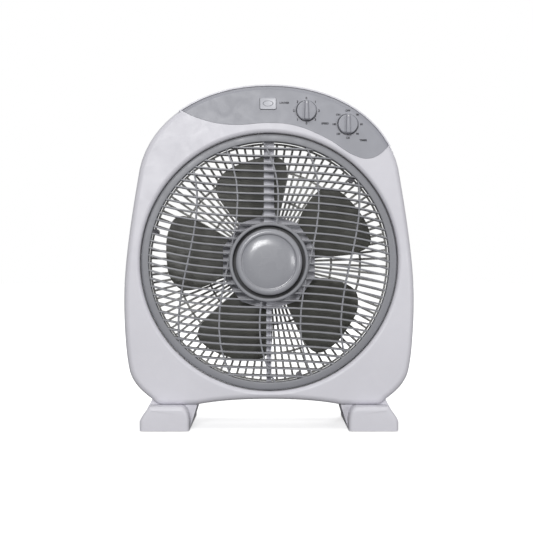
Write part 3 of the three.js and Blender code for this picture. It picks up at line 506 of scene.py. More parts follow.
# %% Panel region, pocket, tray and panel
PANEL_EDGE = [(-160, 243), (-127, 219), (-86, 202.5), (-50, 198), (0, 200.5), (35, 197.5), (83, 178.5),
              (125, 153), (142.6, 149.1), (158, 154), (176, 171), (215, 211)]
PANEL_DEPTH = 5 * MM
PANEL_MARGIN = 2 * MM
SPEED_LOW, SPEED_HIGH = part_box("speed_knob")
TIMER_LOW, TIMER_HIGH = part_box("timer_knob")
BUTTON_LOW, BUTTON_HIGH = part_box("louver_button")
KNOB_SKIRT = 14.4 * MM  # a knob's widest radius, from its axis down to the edge of its box
KNOB_SEAT = 15.4 * MM
SPEED_X, SPEED_Z = box_middle("speed_knob")[0], SPEED_LOW.z + KNOB_SKIRT
TIMER_X, TIMER_Z = box_middle("timer_knob")[0], TIMER_LOW.z + KNOB_SKIRT
BUTTON_X, BUTTON_Z = box_middle("louver_button")
BUTTON_PLAY = 0.5 * MM


def smooth_outline(name, points, corners, fineness=10):
    """A closed curve that flows through the points and has sharp corners at the end."""
    places = points + corners
    curve = bezier_outline(name, [(place, place, place) for place in places], fineness=fineness)
    for knot, place in zip(curve.data.splines[0].bezier_points, places):
        kind = "VECTOR" if place in corners else "AUTO"
        knot.handle_left_type = knot.handle_right_type = kind
    return curve


def inset_plate(name, inset, y_front, y_back):
    """A plate of the casing's outline, smaller all round by the inset."""
    plate = plate_from(bezier_outline(name, CASE_KNOTS), y_front - inset, y_back + inset)
    edit_all(plate)
    bpy.ops.transform.shrink_fatten(value=-inset, use_even_offset=True)
    stop_editing()
    return plate


def panel_region(name, lift, inset, y_front, y_back):
    points = [(x * MM, z * MM + AXIS_Z + lift) for x, z in PANEL_EDGE]
    top = CROWN_Z + 30 * MM
    corners = [(points[-1][0], top), (points[0][0], top)]
    region = plate_from(smooth_outline(name, points, corners), y_front, y_back)
    combine(region, inset_plate(name + "_limit", inset, y_front - MM, y_back + MM), "INTERSECT")
    return region


cut_front = FRONT_Y - 8 * MM
tray_back = FRONT_Y + PANEL_DEPTH + GAP + WALL
pocket_back = FRONT_Y + PANEL_DEPTH + GAP
tray = panel_region("tray", -WALL, PANEL_MARGIN - 2 * MM, FRONT_Y + 1.5 * MM, tray_back)
combine(front_shell, tray, "UNION")
combine(front_shell, mouth_plug("mouth", FRONT_Y, 1, MOUTH_FILLET), "DIFFERENCE")
combine(front_shell, panel_region("pocket", 0, PANEL_MARGIN, cut_front, pocket_back), "DIFFERENCE")
for x, z in ((SPEED_X, SPEED_Z), (TIMER_X, TIMER_Z)):
    drill(front_shell, 4.8 * MM, FRONT_Y, tray_back + 5 * MM, x, z, 32)
button_hole = rounded_block(
    "button_hole", (BUTTON_LOW.x - BUTTON_PLAY, FRONT_Y - 9 * MM, BUTTON_LOW.z - BUTTON_PLAY),
    (BUTTON_HIGH.x + BUTTON_PLAY, tray_back + 5 * MM, BUTTON_HIGH.z + BUTTON_PLAY), 2 * MM)
panel_hole = twin(button_hole, "panel_hole")
combine(front_shell, button_hole, "DIFFERENCE")

panel = casing_body("panel", PARTING_Y, FRONT_Y, FRONT_FILLET)
panel_cut = panel_region("panel_cut", GAP, PANEL_MARGIN + GAP, cut_front, FRONT_Y + PANEL_DEPTH)
combine(panel, panel_cut, "INTERSECT")
for x, z in ((SPEED_X, SPEED_Z), (TIMER_X, TIMER_Z)):
    drill(panel, KNOB_SEAT, cut_front, PARTING_Y, x, z, 64)
combine(panel, panel_hole, "DIFFERENCE")
soften(panel, 0.45 * MM)
soften(front_shell, 0.4 * MM)
for piece in (panel, front_shell):
    tidy_normals(piece)
    smooth_flats(piece)
print("panel:", len(panel.data.polygons), "faces; front shell:", len(front_shell.data.polygons))

# %% [markdown]
# ## The rear shell
# The back half has the same outline, a larger fillet, the other end of the duct, a pocket that
# serves as the carrying handle, a hole for the cord's gland and six wells for the long screws.

# %% Rear shell
HANDLE = ((-55 * MM, 455 * MM), (55 * MM, 482 * MM))
HANDLE_DEPTH = 30 * MM
WELL_FLOOR_Y = PARTING_Y + 12 * MM
REAR_PARTING_Y = REAR_LOW.y
CASE_SCREWS = [box_middle(f"casing_screw_{number}") for number in range(1, 7)]
GUARD_SCREWS = [box_middle(f"guard_screw_{number}") for number in range(1, 4)]
GLAND_LOW, GLAND_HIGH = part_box("cord_gland")
GLAND_X, GLAND_Z = box_middle("cord_gland")
GUARD_SEAT_START = 36.4 * MM
GUARD_SEAT_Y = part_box("rear_guard")[0].y - GAP
PAST_REAR = REAR_Y + 5 * MM

rear_shell = casing_body("rear_shell", REAR_PARTING_Y, REAR_Y, REAR_FILLET)
hollow_out(rear_shell, REAR_PARTING_Y)
add_boss(rear_shell, DUCT_RADIUS + WALL, REAR_PARTING_Y, REAR_Y - MM, sides=160)
handle_low = (HANDLE[0][0] - WALL, REAR_Y - HANDLE_DEPTH - WALL, HANDLE[0][1] - WALL)
handle_high = (HANDLE[1][0] + WALL, REAR_Y - MM, HANDLE[1][1] + WALL)
combine(rear_shell, rounded_block("handle_wall", handle_low, handle_high, 15.9 * MM), "UNION")
for x, z in CASE_SCREWS:
    add_boss(rear_shell, 6 * MM, REAR_PARTING_Y, REAR_Y - MM, x, z)
combine(rear_shell, mouth_plug("mouth", REAR_Y, -1, 3 * MM), "DIFFERENCE")
for x, z in GUARD_SCREWS:
    add_boss(rear_shell, 4.8 * MM, GUARD_SEAT_START, GUARD_SEAT_Y, x, z, 32)
pocket = rounded_block("handle_pocket", (HANDLE[0][0], REAR_Y - HANDLE_DEPTH, HANDLE[0][1]),
                       (HANDLE[1][0], PAST_REAR, HANDLE[1][1]), 13.4 * MM)
combine(rear_shell, pocket, "DIFFERENCE")
for x, z in CASE_SCREWS:
    drill(rear_shell, 4.3 * MM, WELL_FLOOR_Y, PAST_REAR, x, z, 32)
drill(rear_shell, 6.8 * MM, 0, PAST_REAR, GLAND_X, GLAND_Z, 32)
soften(rear_shell, 0.5 * MM)
tidy_normals(rear_shell)
smooth_flats(rear_shell)
print("rear shell:", len(rear_shell.data.polygons), "faces")

# %% [markdown]
# ## The louver grille
# Every louver is the same cubic curve, moved up or down and cut where it meets the rim. A cubic
# is exactly one Bezier segment, so two knots and the right handles draw it. The curve is turned
# into a ribbon as deep as the louver, given thickness, and its long edges are rounded. The five
# ties that hold the louvers apart are made the same way but stand upright.

# %% One wavy bar, then all louvers and ties
LOUVER_PITCH = 11 * MM
LOUVER_FRONT, LOUVER_BACK = -60.5 * MM, -44 * MM
LOUVER_SLOPE, LOUVER_BEND = -0.02, -3.36
LOUVER_THICKNESS = 2.5 * MM
TIE_PITCH = 59 * MM
TIE_FRONT, TIE_BACK = LOUVER_FRONT + MM, -50 * MM
TIE_SLOPE, TIE_BEND = 0.2236, -9.0
TIE_THICKNESS = 2.4 * MM
BAR_REACH = RIM_INNER + 1.5 * MM
HUB_REACH = HUB_OUTER - 2 * MM


def cubic(place, slope, bend):
    """Height of a bar and its slope at a distance from the middle, in metres."""
    def height(u):
        return place + slope * u + bend * u ** 3

    def rise(u):
        return slope + 3 * bend * u ** 2

    return height, rise


def meets_rim(height, side):
    """How far from the middle the bar reaches the rim, found by halving."""
    near, far = 0.0, BAR_REACH
    for _ in range(40):
        middle = (near + far) / 2
        if math.hypot(middle, height(side * middle)) < BAR_REACH:
            near = middle
        else:
            far = middle
    return side * near


def wavy_bar(name, height, rise, start, end, thickness, y_front, y_back, upright=False):
    reach = (end - start) / 3
    knots = []
    for u, back, ahead in ((start, 0, reach), (end, -reach, 0)):
        point = (u, height(u))
        before = (u + back, height(u) + rise(u) * back)
        after = (u + ahead, height(u) + rise(u) * ahead)
        knots.append((point, before, after))
    if upright:
        knots = [tuple((z, x) for x, z in knot) for knot in knots]
    curve = bezier_outline(name, knots, closed=False, fineness=14)
    activate(curve)
    bpy.ops.object.convert(target="MESH")
    bar = bpy.context.object
    edit_all(bar)
    bpy.ops.transform.translate(value=(0, y_front, AXIS_Z))
    bpy.ops.mesh.extrude_region_move(TRANSFORM_OT_translate={"value": (0, y_back - y_front, 0)})
    stop_editing()
    modify(bar, "SOLIDIFY", thickness=thickness, offset=0, use_even_offset=True)
    tidy_normals(bar)
    edit(bar)
    pick(bar, "EDGE", lambda a, b: abs(a.y - b.y) < 1e-6 and (a - b).length > 2.5 * MM
         and min(abs(a.y - y_front), abs(a.y - y_back)) < 1e-5)
    round_picked(0.55 * MM, 2, 0.6)
    stop_editing()
    return bar


louvers = []
for row in range(-15, 16):
    height, rise = cubic(row * LOUVER_PITCH, LOUVER_SLOPE, LOUVER_BEND)
    ends = meets_rim(height, -1), meets_rim(height, 1)
    spans = [ends]
    if abs(row * LOUVER_PITCH) < HUB_OUTER - 4 * MM:
        edge = math.sqrt(HUB_REACH ** 2 - (row * LOUVER_PITCH) ** 2)
        spans = [(ends[0], -edge), (edge, ends[1])]
    for start, end in spans:
        bar = wavy_bar("louver", height, rise, start, end, LOUVER_THICKNESS, LOUVER_FRONT, LOUVER_BACK)
        louvers.append(bar)
louver_bars = join_pieces(louvers, "louver_bars")

ties = []
for column in range(-2, 3):
    height, rise = cubic(column * TIE_PITCH, TIE_SLOPE, TIE_BEND)
    ends = meets_rim(height, -1), meets_rim(height, 1)
    spans = [ends]
    if column == 0:
        spans = [(ends[0], -HUB_REACH), (HUB_REACH, ends[1])]
    for start, end in spans:
        bar = wavy_bar("tie", height, rise, start, end, TIE_THICKNESS, TIE_FRONT, TIE_BACK, upright=True)
        ties.append(bar)
grille_ties = join_pieces(ties, "grille_ties")
print("louver bars:", len(louver_bars.data.polygons), "faces; ties:", len(grille_ties.data.polygons))

# %% [markdown]
# ## Rim, hub ring, web and cap
# The parts of the grille that are round are turned, as on a lathe: half of the section is drawn
# as a line of points and spun round the fan's axis. The web is the disc that closes the gap
# between the hub ring and the dished cap; its black colour is painted shade that makes the gap
# look deep. The cap's step is a rounded bead.

# %% Rim, hub ring, web and centre cap
EDGE_RADIUS = 1.2 * MM
rim_front, rim_back = GRILLE_LOW.y + 5 * MM, -45.5 * MM
grille_rim = turned("grille_rim", [
    (RIM_INNER, rim_front + EDGE_RADIUS),
    *arc(RIM_INNER + EDGE_RADIUS, rim_front + EDGE_RADIUS, EDGE_RADIUS, 180, 270, 4)[1:],
    *arc(RIM_OUTER - 3 * MM, rim_front + 3 * MM, 3 * MM, 270, 360, 6),
    (RIM_OUTER, rim_front + 7 * MM), (RIM_INNER + WALL, rim_front + 7 * MM), (RIM_INNER + WALL, rim_back),
    (RIM_INNER, rim_back), (RIM_INNER, rim_front + EDGE_RADIUS),
], 160)
hub_front = GRILLE_LOW.y
grille_hub = turned("grille_hub", [
    (HUB_INNER, hub_front + EDGE_RADIUS),
    *arc(HUB_INNER + EDGE_RADIUS, hub_front + EDGE_RADIUS, EDGE_RADIUS, 180, 270, 4)[1:],
    *arc(HUB_OUTER - 1.8 * MM, hub_front + 1.8 * MM, 1.8 * MM, 270, 360, 5), (HUB_OUTER, LOUVER_BACK),
    (HUB_INNER, LOUVER_BACK), (HUB_INNER, hub_front + EDGE_RADIUS),
], 128)
web_front, web_back = hub_front + 11 * MM, hub_front + 13.5 * MM
web_inner, web_outer, sleeve_front = 3.4 * MM, HUB_INNER + 0.5 * MM, web_front - 6 * MM
# the web is coloured black below as painted shade for the gap between hub ring and cap
painted_shade_web = turned("painted_shade_web", [
    (web_inner, sleeve_front), (8 * MM, sleeve_front), (8 * MM, web_front), (web_outer, web_front),
    (web_outer, web_back), (web_inner, web_back), (web_inner, sleeve_front),
], 96)
CAP_LOW, CAP_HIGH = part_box("centre_cap")
cap_front, cap_back, cap_radius = CAP_LOW.y, CAP_HIGH.y, CAP_HIGH.x
cap_step = 39 * MM
cap = turned("cap", [
    (0, cap_front + 1.5 * MM), (cap_step * 0.6, cap_front + 1.8 * MM),
    (cap_step - 2 * MM, cap_front + 2.6 * MM),
    (cap_step - 0.6 * MM, cap_front + 3.4 * MM), (cap_step + 0.3 * MM, cap_front + 3.2 * MM),
    (cap_step + 0.9 * MM, cap_front + 0.9 * MM),
    *arc(cap_step + 2.2 * MM, cap_front + 1.3 * MM, 1.3 * MM, 180, 270, 4)[1:],
    *arc(cap_radius - 5 * MM, cap_front + 5 * MM, 5 * MM, 270, 360, 8),
    (cap_radius, cap_back), (cap_radius - 2 * MM, cap_back), (cap_radius - 2 * MM, cap_front + 6 * MM),
    (cap_step - MM, cap_front + 5.5 * MM), (0, cap_front + 4.5 * MM),
], 128)
for piece in (louver_bars, grille_ties, grille_rim, grille_hub, painted_shade_web, cap):
    smooth(piece)
print("rim, hub and cap turned")

# %% [markdown]
# ## The impeller
# Five broad blades stand on a cup-shaped hub. One blade is a sheet that is tilted and twisted
# like a propeller's, thickened, and then trimmed with a cutter of the blade's outline. The trimmed
# blade is copied five times round the hub, each copy turned by 72 degrees.

# %% Blade, copies and hub
HUB_RADIUS = 39 * MM
BLADE_MIDDLE_Y = -10 * MM
BLADE_COUNT = 5
FIRST_BLADE = 101  # degrees from the right-hand side
BLADE_TWIST, BLADE_TILT = math.radians(-9), math.radians(-14)
SHEET_HALF = 60 * MM

clear_selection()
bpy.ops.mesh.primitive_grid_add(x_subdivisions=22, y_subdivisions=22, size=0.14,
                                location=(0, 0, 96 * MM), rotation=(math.pi / 2, 0, 0))
sheet = name_new("blade")
settle(sheet)
edit(sheet)
for share, back in ((0.3, -2.0), (0.55, -0.7), (0.8, 1.2), (0.95, 1.0)):
    pick(sheet, "VERT", lambda co: abs(co.x) > share * SHEET_HALF)
    bpy.ops.transform.translate(value=(0, back * MM * 0.6, 0))
stop_editing()
modify(sheet, "SMOOTH", factor=0.5, iterations=6)
modify(sheet, "SIMPLE_DEFORM", deform_method="TWIST", angle=BLADE_TWIST, deform_axis="Z")
edit_all(sheet)
bpy.ops.transform.rotate(value=BLADE_TILT, orient_axis="Z", center_override=(0, 0, 0))
stop_editing()
modify(sheet, "SOLIDIFY", thickness=2 * MM, offset=0, use_even_offset=True)
tidy_normals(sheet)
blade_points = [
    (-2, 154.5), (17, 156), (36, 153), (47.5, 148), (52.5, 139), (52.5, 128), (46.5, 109), (37.5, 88),
    (29.5, 67), (24, 36), (0, 33), (-24, 36), (-29.5, 66), (-38, 75), (-48.5, 92), (-54.5, 106),
    (-57, 119), (-55, 128),
    (-47, 138), (-36, 146), (-20, 151),
]
cutter_curve = smooth_outline("blade_cutter", in_mm(blade_points), [])
combine(sheet, plate_from(cutter_curve, -40 * MM, 40 * MM), "INTERSECT")
soften(sheet, 0.5 * MM, degrees=50)
tidy_normals(sheet)
edit_all(sheet)
bpy.ops.transform.translate(value=(0, BLADE_MIDDLE_Y, AXIS_Z))
stop_editing()

blades = []
for number in range(BLADE_COUNT):
    blade = twin(sheet, "blade_copy")
    edit_all(blade)
    turn = math.radians(FIRST_BLADE - 90 + 360 / BLADE_COUNT * number)
    bpy.ops.transform.rotate(value=turn, orient_axis="Y", center_override=(0, 0, AXIS_Z))
    stop_editing()
    blades.append(blade)
bpy.data.objects.remove(sheet)
impeller_blades = join_pieces(blades, "impeller_blades")
hub_front, hub_back = -19 * MM, 1.5 * MM
impeller_hub = turned("impeller_hub", [
    (4.3 * MM, hub_front), (HUB_RADIUS - 8 * MM, hub_front),
    *arc(HUB_RADIUS - 3 * MM, hub_front + 3 * MM, 3 * MM, 270, 360, 5),
    (HUB_RADIUS, hub_back), (HUB_RADIUS - 2.5 * MM, hub_back), (HUB_RADIUS - 2.5 * MM, hub_front + 3 * MM),
    (10 * MM, hub_front + 3 * MM), (10 * MM, -6 * MM), (4.3 * MM, -6 * MM), (4.3 * MM, hub_front),
], 96)
for piece in (impeller_blades, impeller_hub):
    smooth(piece)
print("impeller blades:", len(impeller_blades.data.polygons), "faces")

# %% [markdown]
# ## The rear guard
# Ninety thin ribs run from a centre plate to a ring inside the duct, with two more rings between.
# Fingers can't pass, air can. One rib is shaped and copied round every four degrees. Three lugs
# at the edge take the guard's screws, and the ribs are cut away where a screw's head needs room.

# %% Ribs, rings and centre plate
GUARD_LOW, GUARD_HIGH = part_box("rear_guard")
GUARD_FRONT, GUARD_BACK = GUARD_LOW.y, GUARD_HIGH.y
GUARD_RADIUS = GUARD_HIGH.x
GUARD_HUB = 50 * MM
RIB_COUNT = 90
RIB_HALF = 1.7 * MM
BOLT_HOLE, HOLE_START, HOLE_END = 2.2 * MM, 40 * MM, 70 * MM
rib = block("rib", (-RIB_HALF, GUARD_FRONT, AXIS_Z + GUARD_HUB - MM),
            (RIB_HALF, GUARD_BACK, AXIS_Z + GUARD_RADIUS - MM))
edit(rib)
pick(rib, "EDGE", lambda a, b: abs(a.z - b.z) > MM)
round_picked(0.6 * MM, 2)
stop_editing()
ribs = []
to_axis, from_axis = Matrix.Translation((0, 0, -AXIS_Z)), Matrix.Translation((0, 0, AXIS_Z))
for number in range(RIB_COUNT):
    copy = twin(rib, "rib_copy")
    copy.data.transform(from_axis @ Matrix.Rotation(2 * math.pi * number / RIB_COUNT, 4, "Y") @ to_axis)
    ribs.append(copy)
bpy.data.objects.remove(rib)
guard_ribs = join_pieces(ribs, "guard_ribs")


def ring(name, radius, half_width, y0, y1, sides=160):
    r0, r1, soft = radius - half_width, radius + half_width, 0.5 * MM
    return turned(name, [(r0, y0 + soft), (r0 + soft, y0), (r1 - soft, y0), (r1, y0 + soft), (r1, y1 - soft),
                         (r1 - soft, y1), (r0 + soft, y1), (r0, y1 - soft), (r0, y0 + soft)], sides)


RINGS = ((GUARD_RADIUS - 1.3 * MM, 1.3 * MM), (97 * MM, 1.5 * MM), (142 * MM, 1.5 * MM))
rings = [ring("ring", radius, half_width, GUARD_FRONT, GUARD_BACK) for radius, half_width in RINGS]
guard_rings = join_pieces(rings, "guard_rings")
plate_back, bead_back = GUARD_FRONT + 3 * MM, GUARD_FRONT + 4 * MM
guard_plate = turned("guard_plate", [
    (16 * MM, GUARD_FRONT), (GUARD_HUB, GUARD_FRONT), (GUARD_HUB, GUARD_BACK - MM),
    (GUARD_HUB - MM, GUARD_BACK), (GUARD_HUB - 2.5 * MM, GUARD_BACK), (GUARD_HUB - 2.5 * MM, plate_back),
    (28 * MM, plate_back), (27 * MM, bead_back), (25 * MM, bead_back), (24 * MM, plate_back),
    (16 * MM, plate_back), (16 * MM, GUARD_FRONT),
], 96)
for number in range(1, 5):
    drill(guard_plate, BOLT_HOLE, HOLE_START, HOLE_END, *box_middle(f"motor_bolt_{number}"))
lugs = []
for x, z in GUARD_SCREWS:
    lug = cylinder("lug", 4.9 * MM, GUARD_FRONT, plate_back, x, z, 32)
    drill(lug, BOLT_HOLE, HOLE_START, HOLE_END, x, z)
    soften(lug, 0.4 * MM)
    lugs.append(lug)
    drill(guard_ribs, 4.6 * MM, GUARD_FRONT + 2.9 * MM, HOLE_END, x, z)
guard_lugs = join_pieces(lugs, "guard_lugs")
for piece in (guard_ribs, guard_rings, guard_plate, guard_lugs):
    smooth(piece)
print("guard ribs:", len(guard_ribs.data.polygons), "faces")

# %% [markdown]
# ## The spider and its clip
# Two arms cross the duct behind the grille and carry the little motor that turns it. The plate in
# the middle is a ten-sided moulding. The wide upper arm widens into it through a gusset, and the
# narrow lower arm has a groove along its front. The clip is a small black strap with a rounded foot.

# %% Plate, arms and lead clip
SPIDER_LOW, SPIDER_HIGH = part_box("front_spider")
SPIDER_FRONT, SPIDER_BACK = SPIDER_LOW.y, SPIDER_HIGH.y
PLATE_FRONT = SPIDER_BACK - 3.2 * MM
CUP_RADIUS = 26 * MM
UPPER_HALF, LOWER_HALF = 7.5 * MM, 3.75 * MM
ARM_START, ARM_END = 28 * MM, 185 * MM
IN_FRONT = -60 * MM
spider = cylinder("spider", 71 * MM, PLATE_FRONT, SPIDER_BACK, sides=10)
gusset = [(x, z + AXIS_Z) for x, z in in_mm(((-22, 0), (22, 0), (7.5, 81), (-7.5, 81)))]
combine(spider, plate_from(smooth_outline("gusset", [], gusset), PLATE_FRONT, SPIDER_BACK), "UNION")
combine(spider, block("upper_arm", (-UPPER_HALF, SPIDER_FRONT, AXIS_Z + ARM_START),
                      (UPPER_HALF, SPIDER_BACK, AXIS_Z + ARM_END)), "UNION")
combine(spider, block("lower_arm", (-LOWER_HALF, SPIDER_FRONT, AXIS_Z - ARM_END),
                      (LOWER_HALF, SPIDER_BACK, AXIS_Z - ARM_START)), "UNION")
channel = block("channel", (-1.3 * MM, SPIDER_FRONT - MM, AXIS_Z - 172 * MM),
                (1.3 * MM, SPIDER_FRONT + 2 * MM, AXIS_Z - 76 * MM))
combine(spider, channel, "DIFFERENCE")
add_boss(spider, CUP_RADIUS + 2.5 * MM, PLATE_FRONT - 8 * MM, SPIDER_BACK, sides=64)
drill(spider, CUP_RADIUS, IN_FRONT, PLATE_FRONT, sides=64)
for x, z in SPIDER_EYES:
    add_boss(spider, 5.5 * MM, SPIDER_FRONT, SPIDER_BACK, x, z, 32)
    drill(spider, BOLT_HOLE, IN_FRONT, 0, x, z)
soften(spider, 0.8 * MM)
finish(spider)

CLIP_LOW, CLIP_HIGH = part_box("lead_clip")
clip_z = box_middle("lead_clip")[1]
clip = rounded_block("clip", (CLIP_LOW.x, CLIP_LOW.y, clip_z - 3 * MM),
                     (CLIP_HIGH.x, CLIP_LOW.y + 2.1 * MM, clip_z + 3 * MM), 2 * MM, segments=5)
combine(clip, block("clip_strap", (-2.3 * MM, CLIP_LOW.y + 0.8 * MM, CLIP_LOW.z),
                    (2.3 * MM, CLIP_HIGH.y, CLIP_HIGH.z)), "UNION")
soften(clip, 0.4 * MM)
finish(clip)
print("spider:", len(spider.data.polygons), "faces")

# %% [markdown]
# ## Knobs, button and dial marks
# A knob is a turned disc with a raised bar across it to hold. The bar is a block whose upper end is
# narrowed and whose edges are rounded. A white dot shows where the knob points.

# %% Knobs and button


KNOB_RADIUS = 14 * MM
GRIP_HALF = 4.2 * MM


def knob(name, low, high, x, z):
    disc_front = low.y + 6.5 * MM
    disc_back, skirt_inner = disc_front + 3 * MM, KNOB_RADIUS - 1.6 * MM
    disc = turned(name, [
        (0, disc_front), (KNOB_RADIUS - 2.2 * MM, disc_front),
        *arc(KNOB_RADIUS - EDGE_RADIUS, disc_front + EDGE_RADIUS, EDGE_RADIUS, 270, 355, 5),
        (KNOB_RADIUS + 0.4 * MM, high.y), (skirt_inner, high.y), (skirt_inner, disc_back), (0, disc_back),
    ], 96, x, z)
    grip = block(name + "_grip", (x - GRIP_HALF, low.y, z - 14.2 * MM),
                 (x + GRIP_HALF, disc_front + 2 * MM, z + 14.8 * MM))
    edit(grip)
    pick(grip, "FACE", lambda middle, normal: normal.z > 0.9)
    bpy.ops.transform.resize(value=(0.66, 1, 1))
    pick(grip, "FACE", lambda middle, normal: normal.y < -0.9)
    bpy.ops.transform.resize(value=(0.72, 1, 0.95))
    stop_editing()
    soften(grip, 1.3 * MM, 4)
    combine(disc, grip, "UNION")
    finish(disc)
    dot = cylinder(name + "_dot", 1.0 * MM, low.y - 0.05 * MM, low.y + 0.4 * MM, x, z + 10.5 * MM, 32)
    smooth(dot)
    return disc, dot


speed_disc, speed_dot = knob("speed_dial", SPEED_LOW, SPEED_HIGH, SPEED_X, SPEED_Z)
timer_disc, timer_dot = knob("timer_dial", TIMER_LOW, TIMER_HIGH, TIMER_X, TIMER_Z)

button_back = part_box("louver_switch")[0].y - 3.3 * MM
button = rounded_block("button", (BUTTON_LOW.x, BUTTON_LOW.y, BUTTON_LOW.z),
                       (BUTTON_HIGH.x, button_back, BUTTON_HIGH.z), 1.8 * MM)
edit(button)
pick(button, "FACE", lambda middle, normal: normal.y < -0.9)
bpy.ops.mesh.inset(thickness=1.4 * MM)
bpy.ops.transform.translate(value=(0, 0.5 * MM, 0))
stop_editing()
soften(button, 0.6 * MM, 3)
stem = block("button_stem", (BUTTON_X - 3.8 * MM, button_back - MM, BUTTON_Z - 2.8 * MM),
             (BUTTON_X + 3.8 * MM, BUTTON_HIGH.y, BUTTON_Z + 2.8 * MM))
combine(button, stem, "UNION")
smooth(button)
oval = ((6.2, 0.6), (6.6, 0.1), (7.4, 0.1), (7.8, 0.6), (7, 1.2), (6.2, 0.6))
relief = turned("button_relief", [(radius, BUTTON_LOW.y + back) for radius, back in in_mm(oval)],
                64, BUTTON_X, BUTTON_Z)
edit_all(relief)
bpy.ops.transform.resize(value=(1, 1, 0.55), center_override=(BUTTON_X, 0, BUTTON_Z))
stop_editing()
smooth(relief)


def legend(text, x, z, size):
    """Printed characters, as a film 0.1 mm thick on the panel."""
    clear_selection()
    bpy.ops.object.text_add(location=(x, FRONT_Y - 0.06 * MM, z), rotation=(math.pi / 2, 0, 0))
    words = bpy.context.object
    words.data.body = text
    words.data.size = size
    words.data.align_x = "CENTER"
    words.data.align_y = "CENTER"
    words.data.extrude = 0.04 * MM
    words.data.offset = 0.05 * size
    words.data.resolution_u = 3
    bpy.ops.object.convert(target="MESH")
    piece = bpy.context.object
    settle(piece)
    return piece


def dial(words, x, z, radius, size):
    """Words round a knob, clockwise from the top and 45 degrees apart."""
    placed = []
    for place, word in enumerate(words):
        angle = math.radians(90 - 45 * place)
        placed.append(legend(word, x + radius * math.cos(angle), z + radius * math.sin(angle), size))
    return placed


marks = dial(("0", "1", "2", "3", "0", "1", "2", "3"), SPEED_X, SPEED_Z, 18.2 * MM, 4.6 * MM)
marks += dial(("OFF", "30", "60", "90", "120", "150", "180", "ON"), TIMER_X, TIMER_Z, 19.6 * MM, 3.9 * MM)
for word, x, z, size in (("SPEED", 81, 442.2, 3.9), ("TIMER", 136, 418, 3.9), ("LOUVER", 22, 472, 3.7)):
    marks.append(legend(word, x * MM, z * MM, size * MM))
dial_marks = join_pieces(marks, "dial_marks")
tidy_normals(dial_marks, 1e-7)
print("dial marks:", len(dial_marks.data.polygons), "faces")

# %% [markdown]
# ## Feet, pads and cord gland
# Each foot is a shell that hooks under a corner of the casing and reaches out in front and behind.
# The right foot is modelled; its mirror image is the left one, as the two moulds would be.

# %% One foot, mirrored
FOOT_LOW, FOOT_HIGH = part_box("foot_right")
foot_end = FOOT_HIGH.y
foot_floor = FOOT_LOW.z
SHOULDER, TOE_TOP = 14 * MM, FOOT_TOP_Z
SADDLE_INSET = 0.4 * MM


def bend(start, corner, end, steps):
    """Points along a curve that leaves start and reaches end, both aimed at corner."""
    points = []
    for step in range(steps + 1):
        share = step / steps
        points.append(towards(towards(start, corner, share), towards(corner, end, share), share))
    return points


shoulder_end = (FOOT_OUTER_X - 12.5 * MM, TOE_TOP - 2 * MM)
toe_points = [
    (FOOT_INNER_X, foot_floor), (FOOT_OUTER_X, foot_floor),
    *bend((FOOT_OUTER_X, SHOULDER), (FOOT_OUTER_X - 1.5 * MM, SHOULDER + 7 * MM), shoulder_end, 6),
    *bend(shoulder_end, (FOOT_OUTER_X - 14 * MM, TOE_TOP), (FOOT_OUTER_X - 16.5 * MM, TOE_TOP), 3)[1:],
    *bend((FOOT_INNER_X + 12 * MM, TOE_TOP), (FOOT_INNER_X + 1.5 * MM, TOE_TOP - 1.5 * MM),
          (FOOT_INNER_X, TOE_TOP - 20 * MM), 10),
]
toe_outline = smooth_outline("foot_toe", [], toe_points)
toe = plate_from(toe_outline, -foot_end, foot_end)
edit(toe)
pick(toe, "EDGE", lambda a, b: abs(a.y - b.y) < 1e-6 and abs(a.y) > foot_end - 1e-5
     and max(a.z, b.z) > foot_floor + 1e-5)
round_picked(6 * MM, 6)
stop_editing()
saddle_points = [
    (FOOT_INNER_X + SADDLE_INSET, foot_floor + MM), (FOOT_OUTER_X - SADDLE_INSET, foot_floor + MM),
    (FOOT_OUTER_X - SADDLE_INSET, SHOULDER + 0.5 * MM),
    (FOOT_OUTER_X - 15.5 * MM, TOE_TOP + 7.5 * MM), (FOOT_OUTER_X - 30 * MM, TOE_TOP + 7.5 * MM),
    (FOOT_OUTER_X - 36 * MM, TOE_TOP - GAP), (FOOT_INNER_X - 10 * MM, TOE_TOP - GAP),
]
saddle_curve = smooth_outline("saddle", [], saddle_points)
combine(toe, plate_from(saddle_curve, FRONT_Y + 10 * MM, REAR_Y - 10 * MM), "UNION")
inner = in_mm([(117.5, -5), (181.5, -5), (181.5, 12), (169.5, 31.5), (126.5, 31.5), (117.5, 22.5)])
inner_curve = smooth_outline("foot_air", [], inner)
air = plate_from(inner_curve, -foot_end + 8 * MM, foot_end - 8 * MM)
combine(toe, air, "DIFFERENCE")
casing_air = plate_from(bezier_outline("casing_air", CASE_KNOTS), FRONT_Y - GAP, REAR_Y + GAP)
combine(toe, casing_air, "DIFFERENCE")
PAD_X, PAD_Y, PAD_RADIUS = 149.5 * MM, 68 * MM, 9 * MM


def upright_cylinder(name, radius, z0, z1, x, y, sides=48):
    clear_selection()
    bpy.ops.mesh.primitive_cylinder_add(vertices=sides, radius=radius, depth=z1 - z0,
                                        location=(x, y, (z0 + z1) / 2))
    piece = name_new(name)
    settle(piece)
    return piece


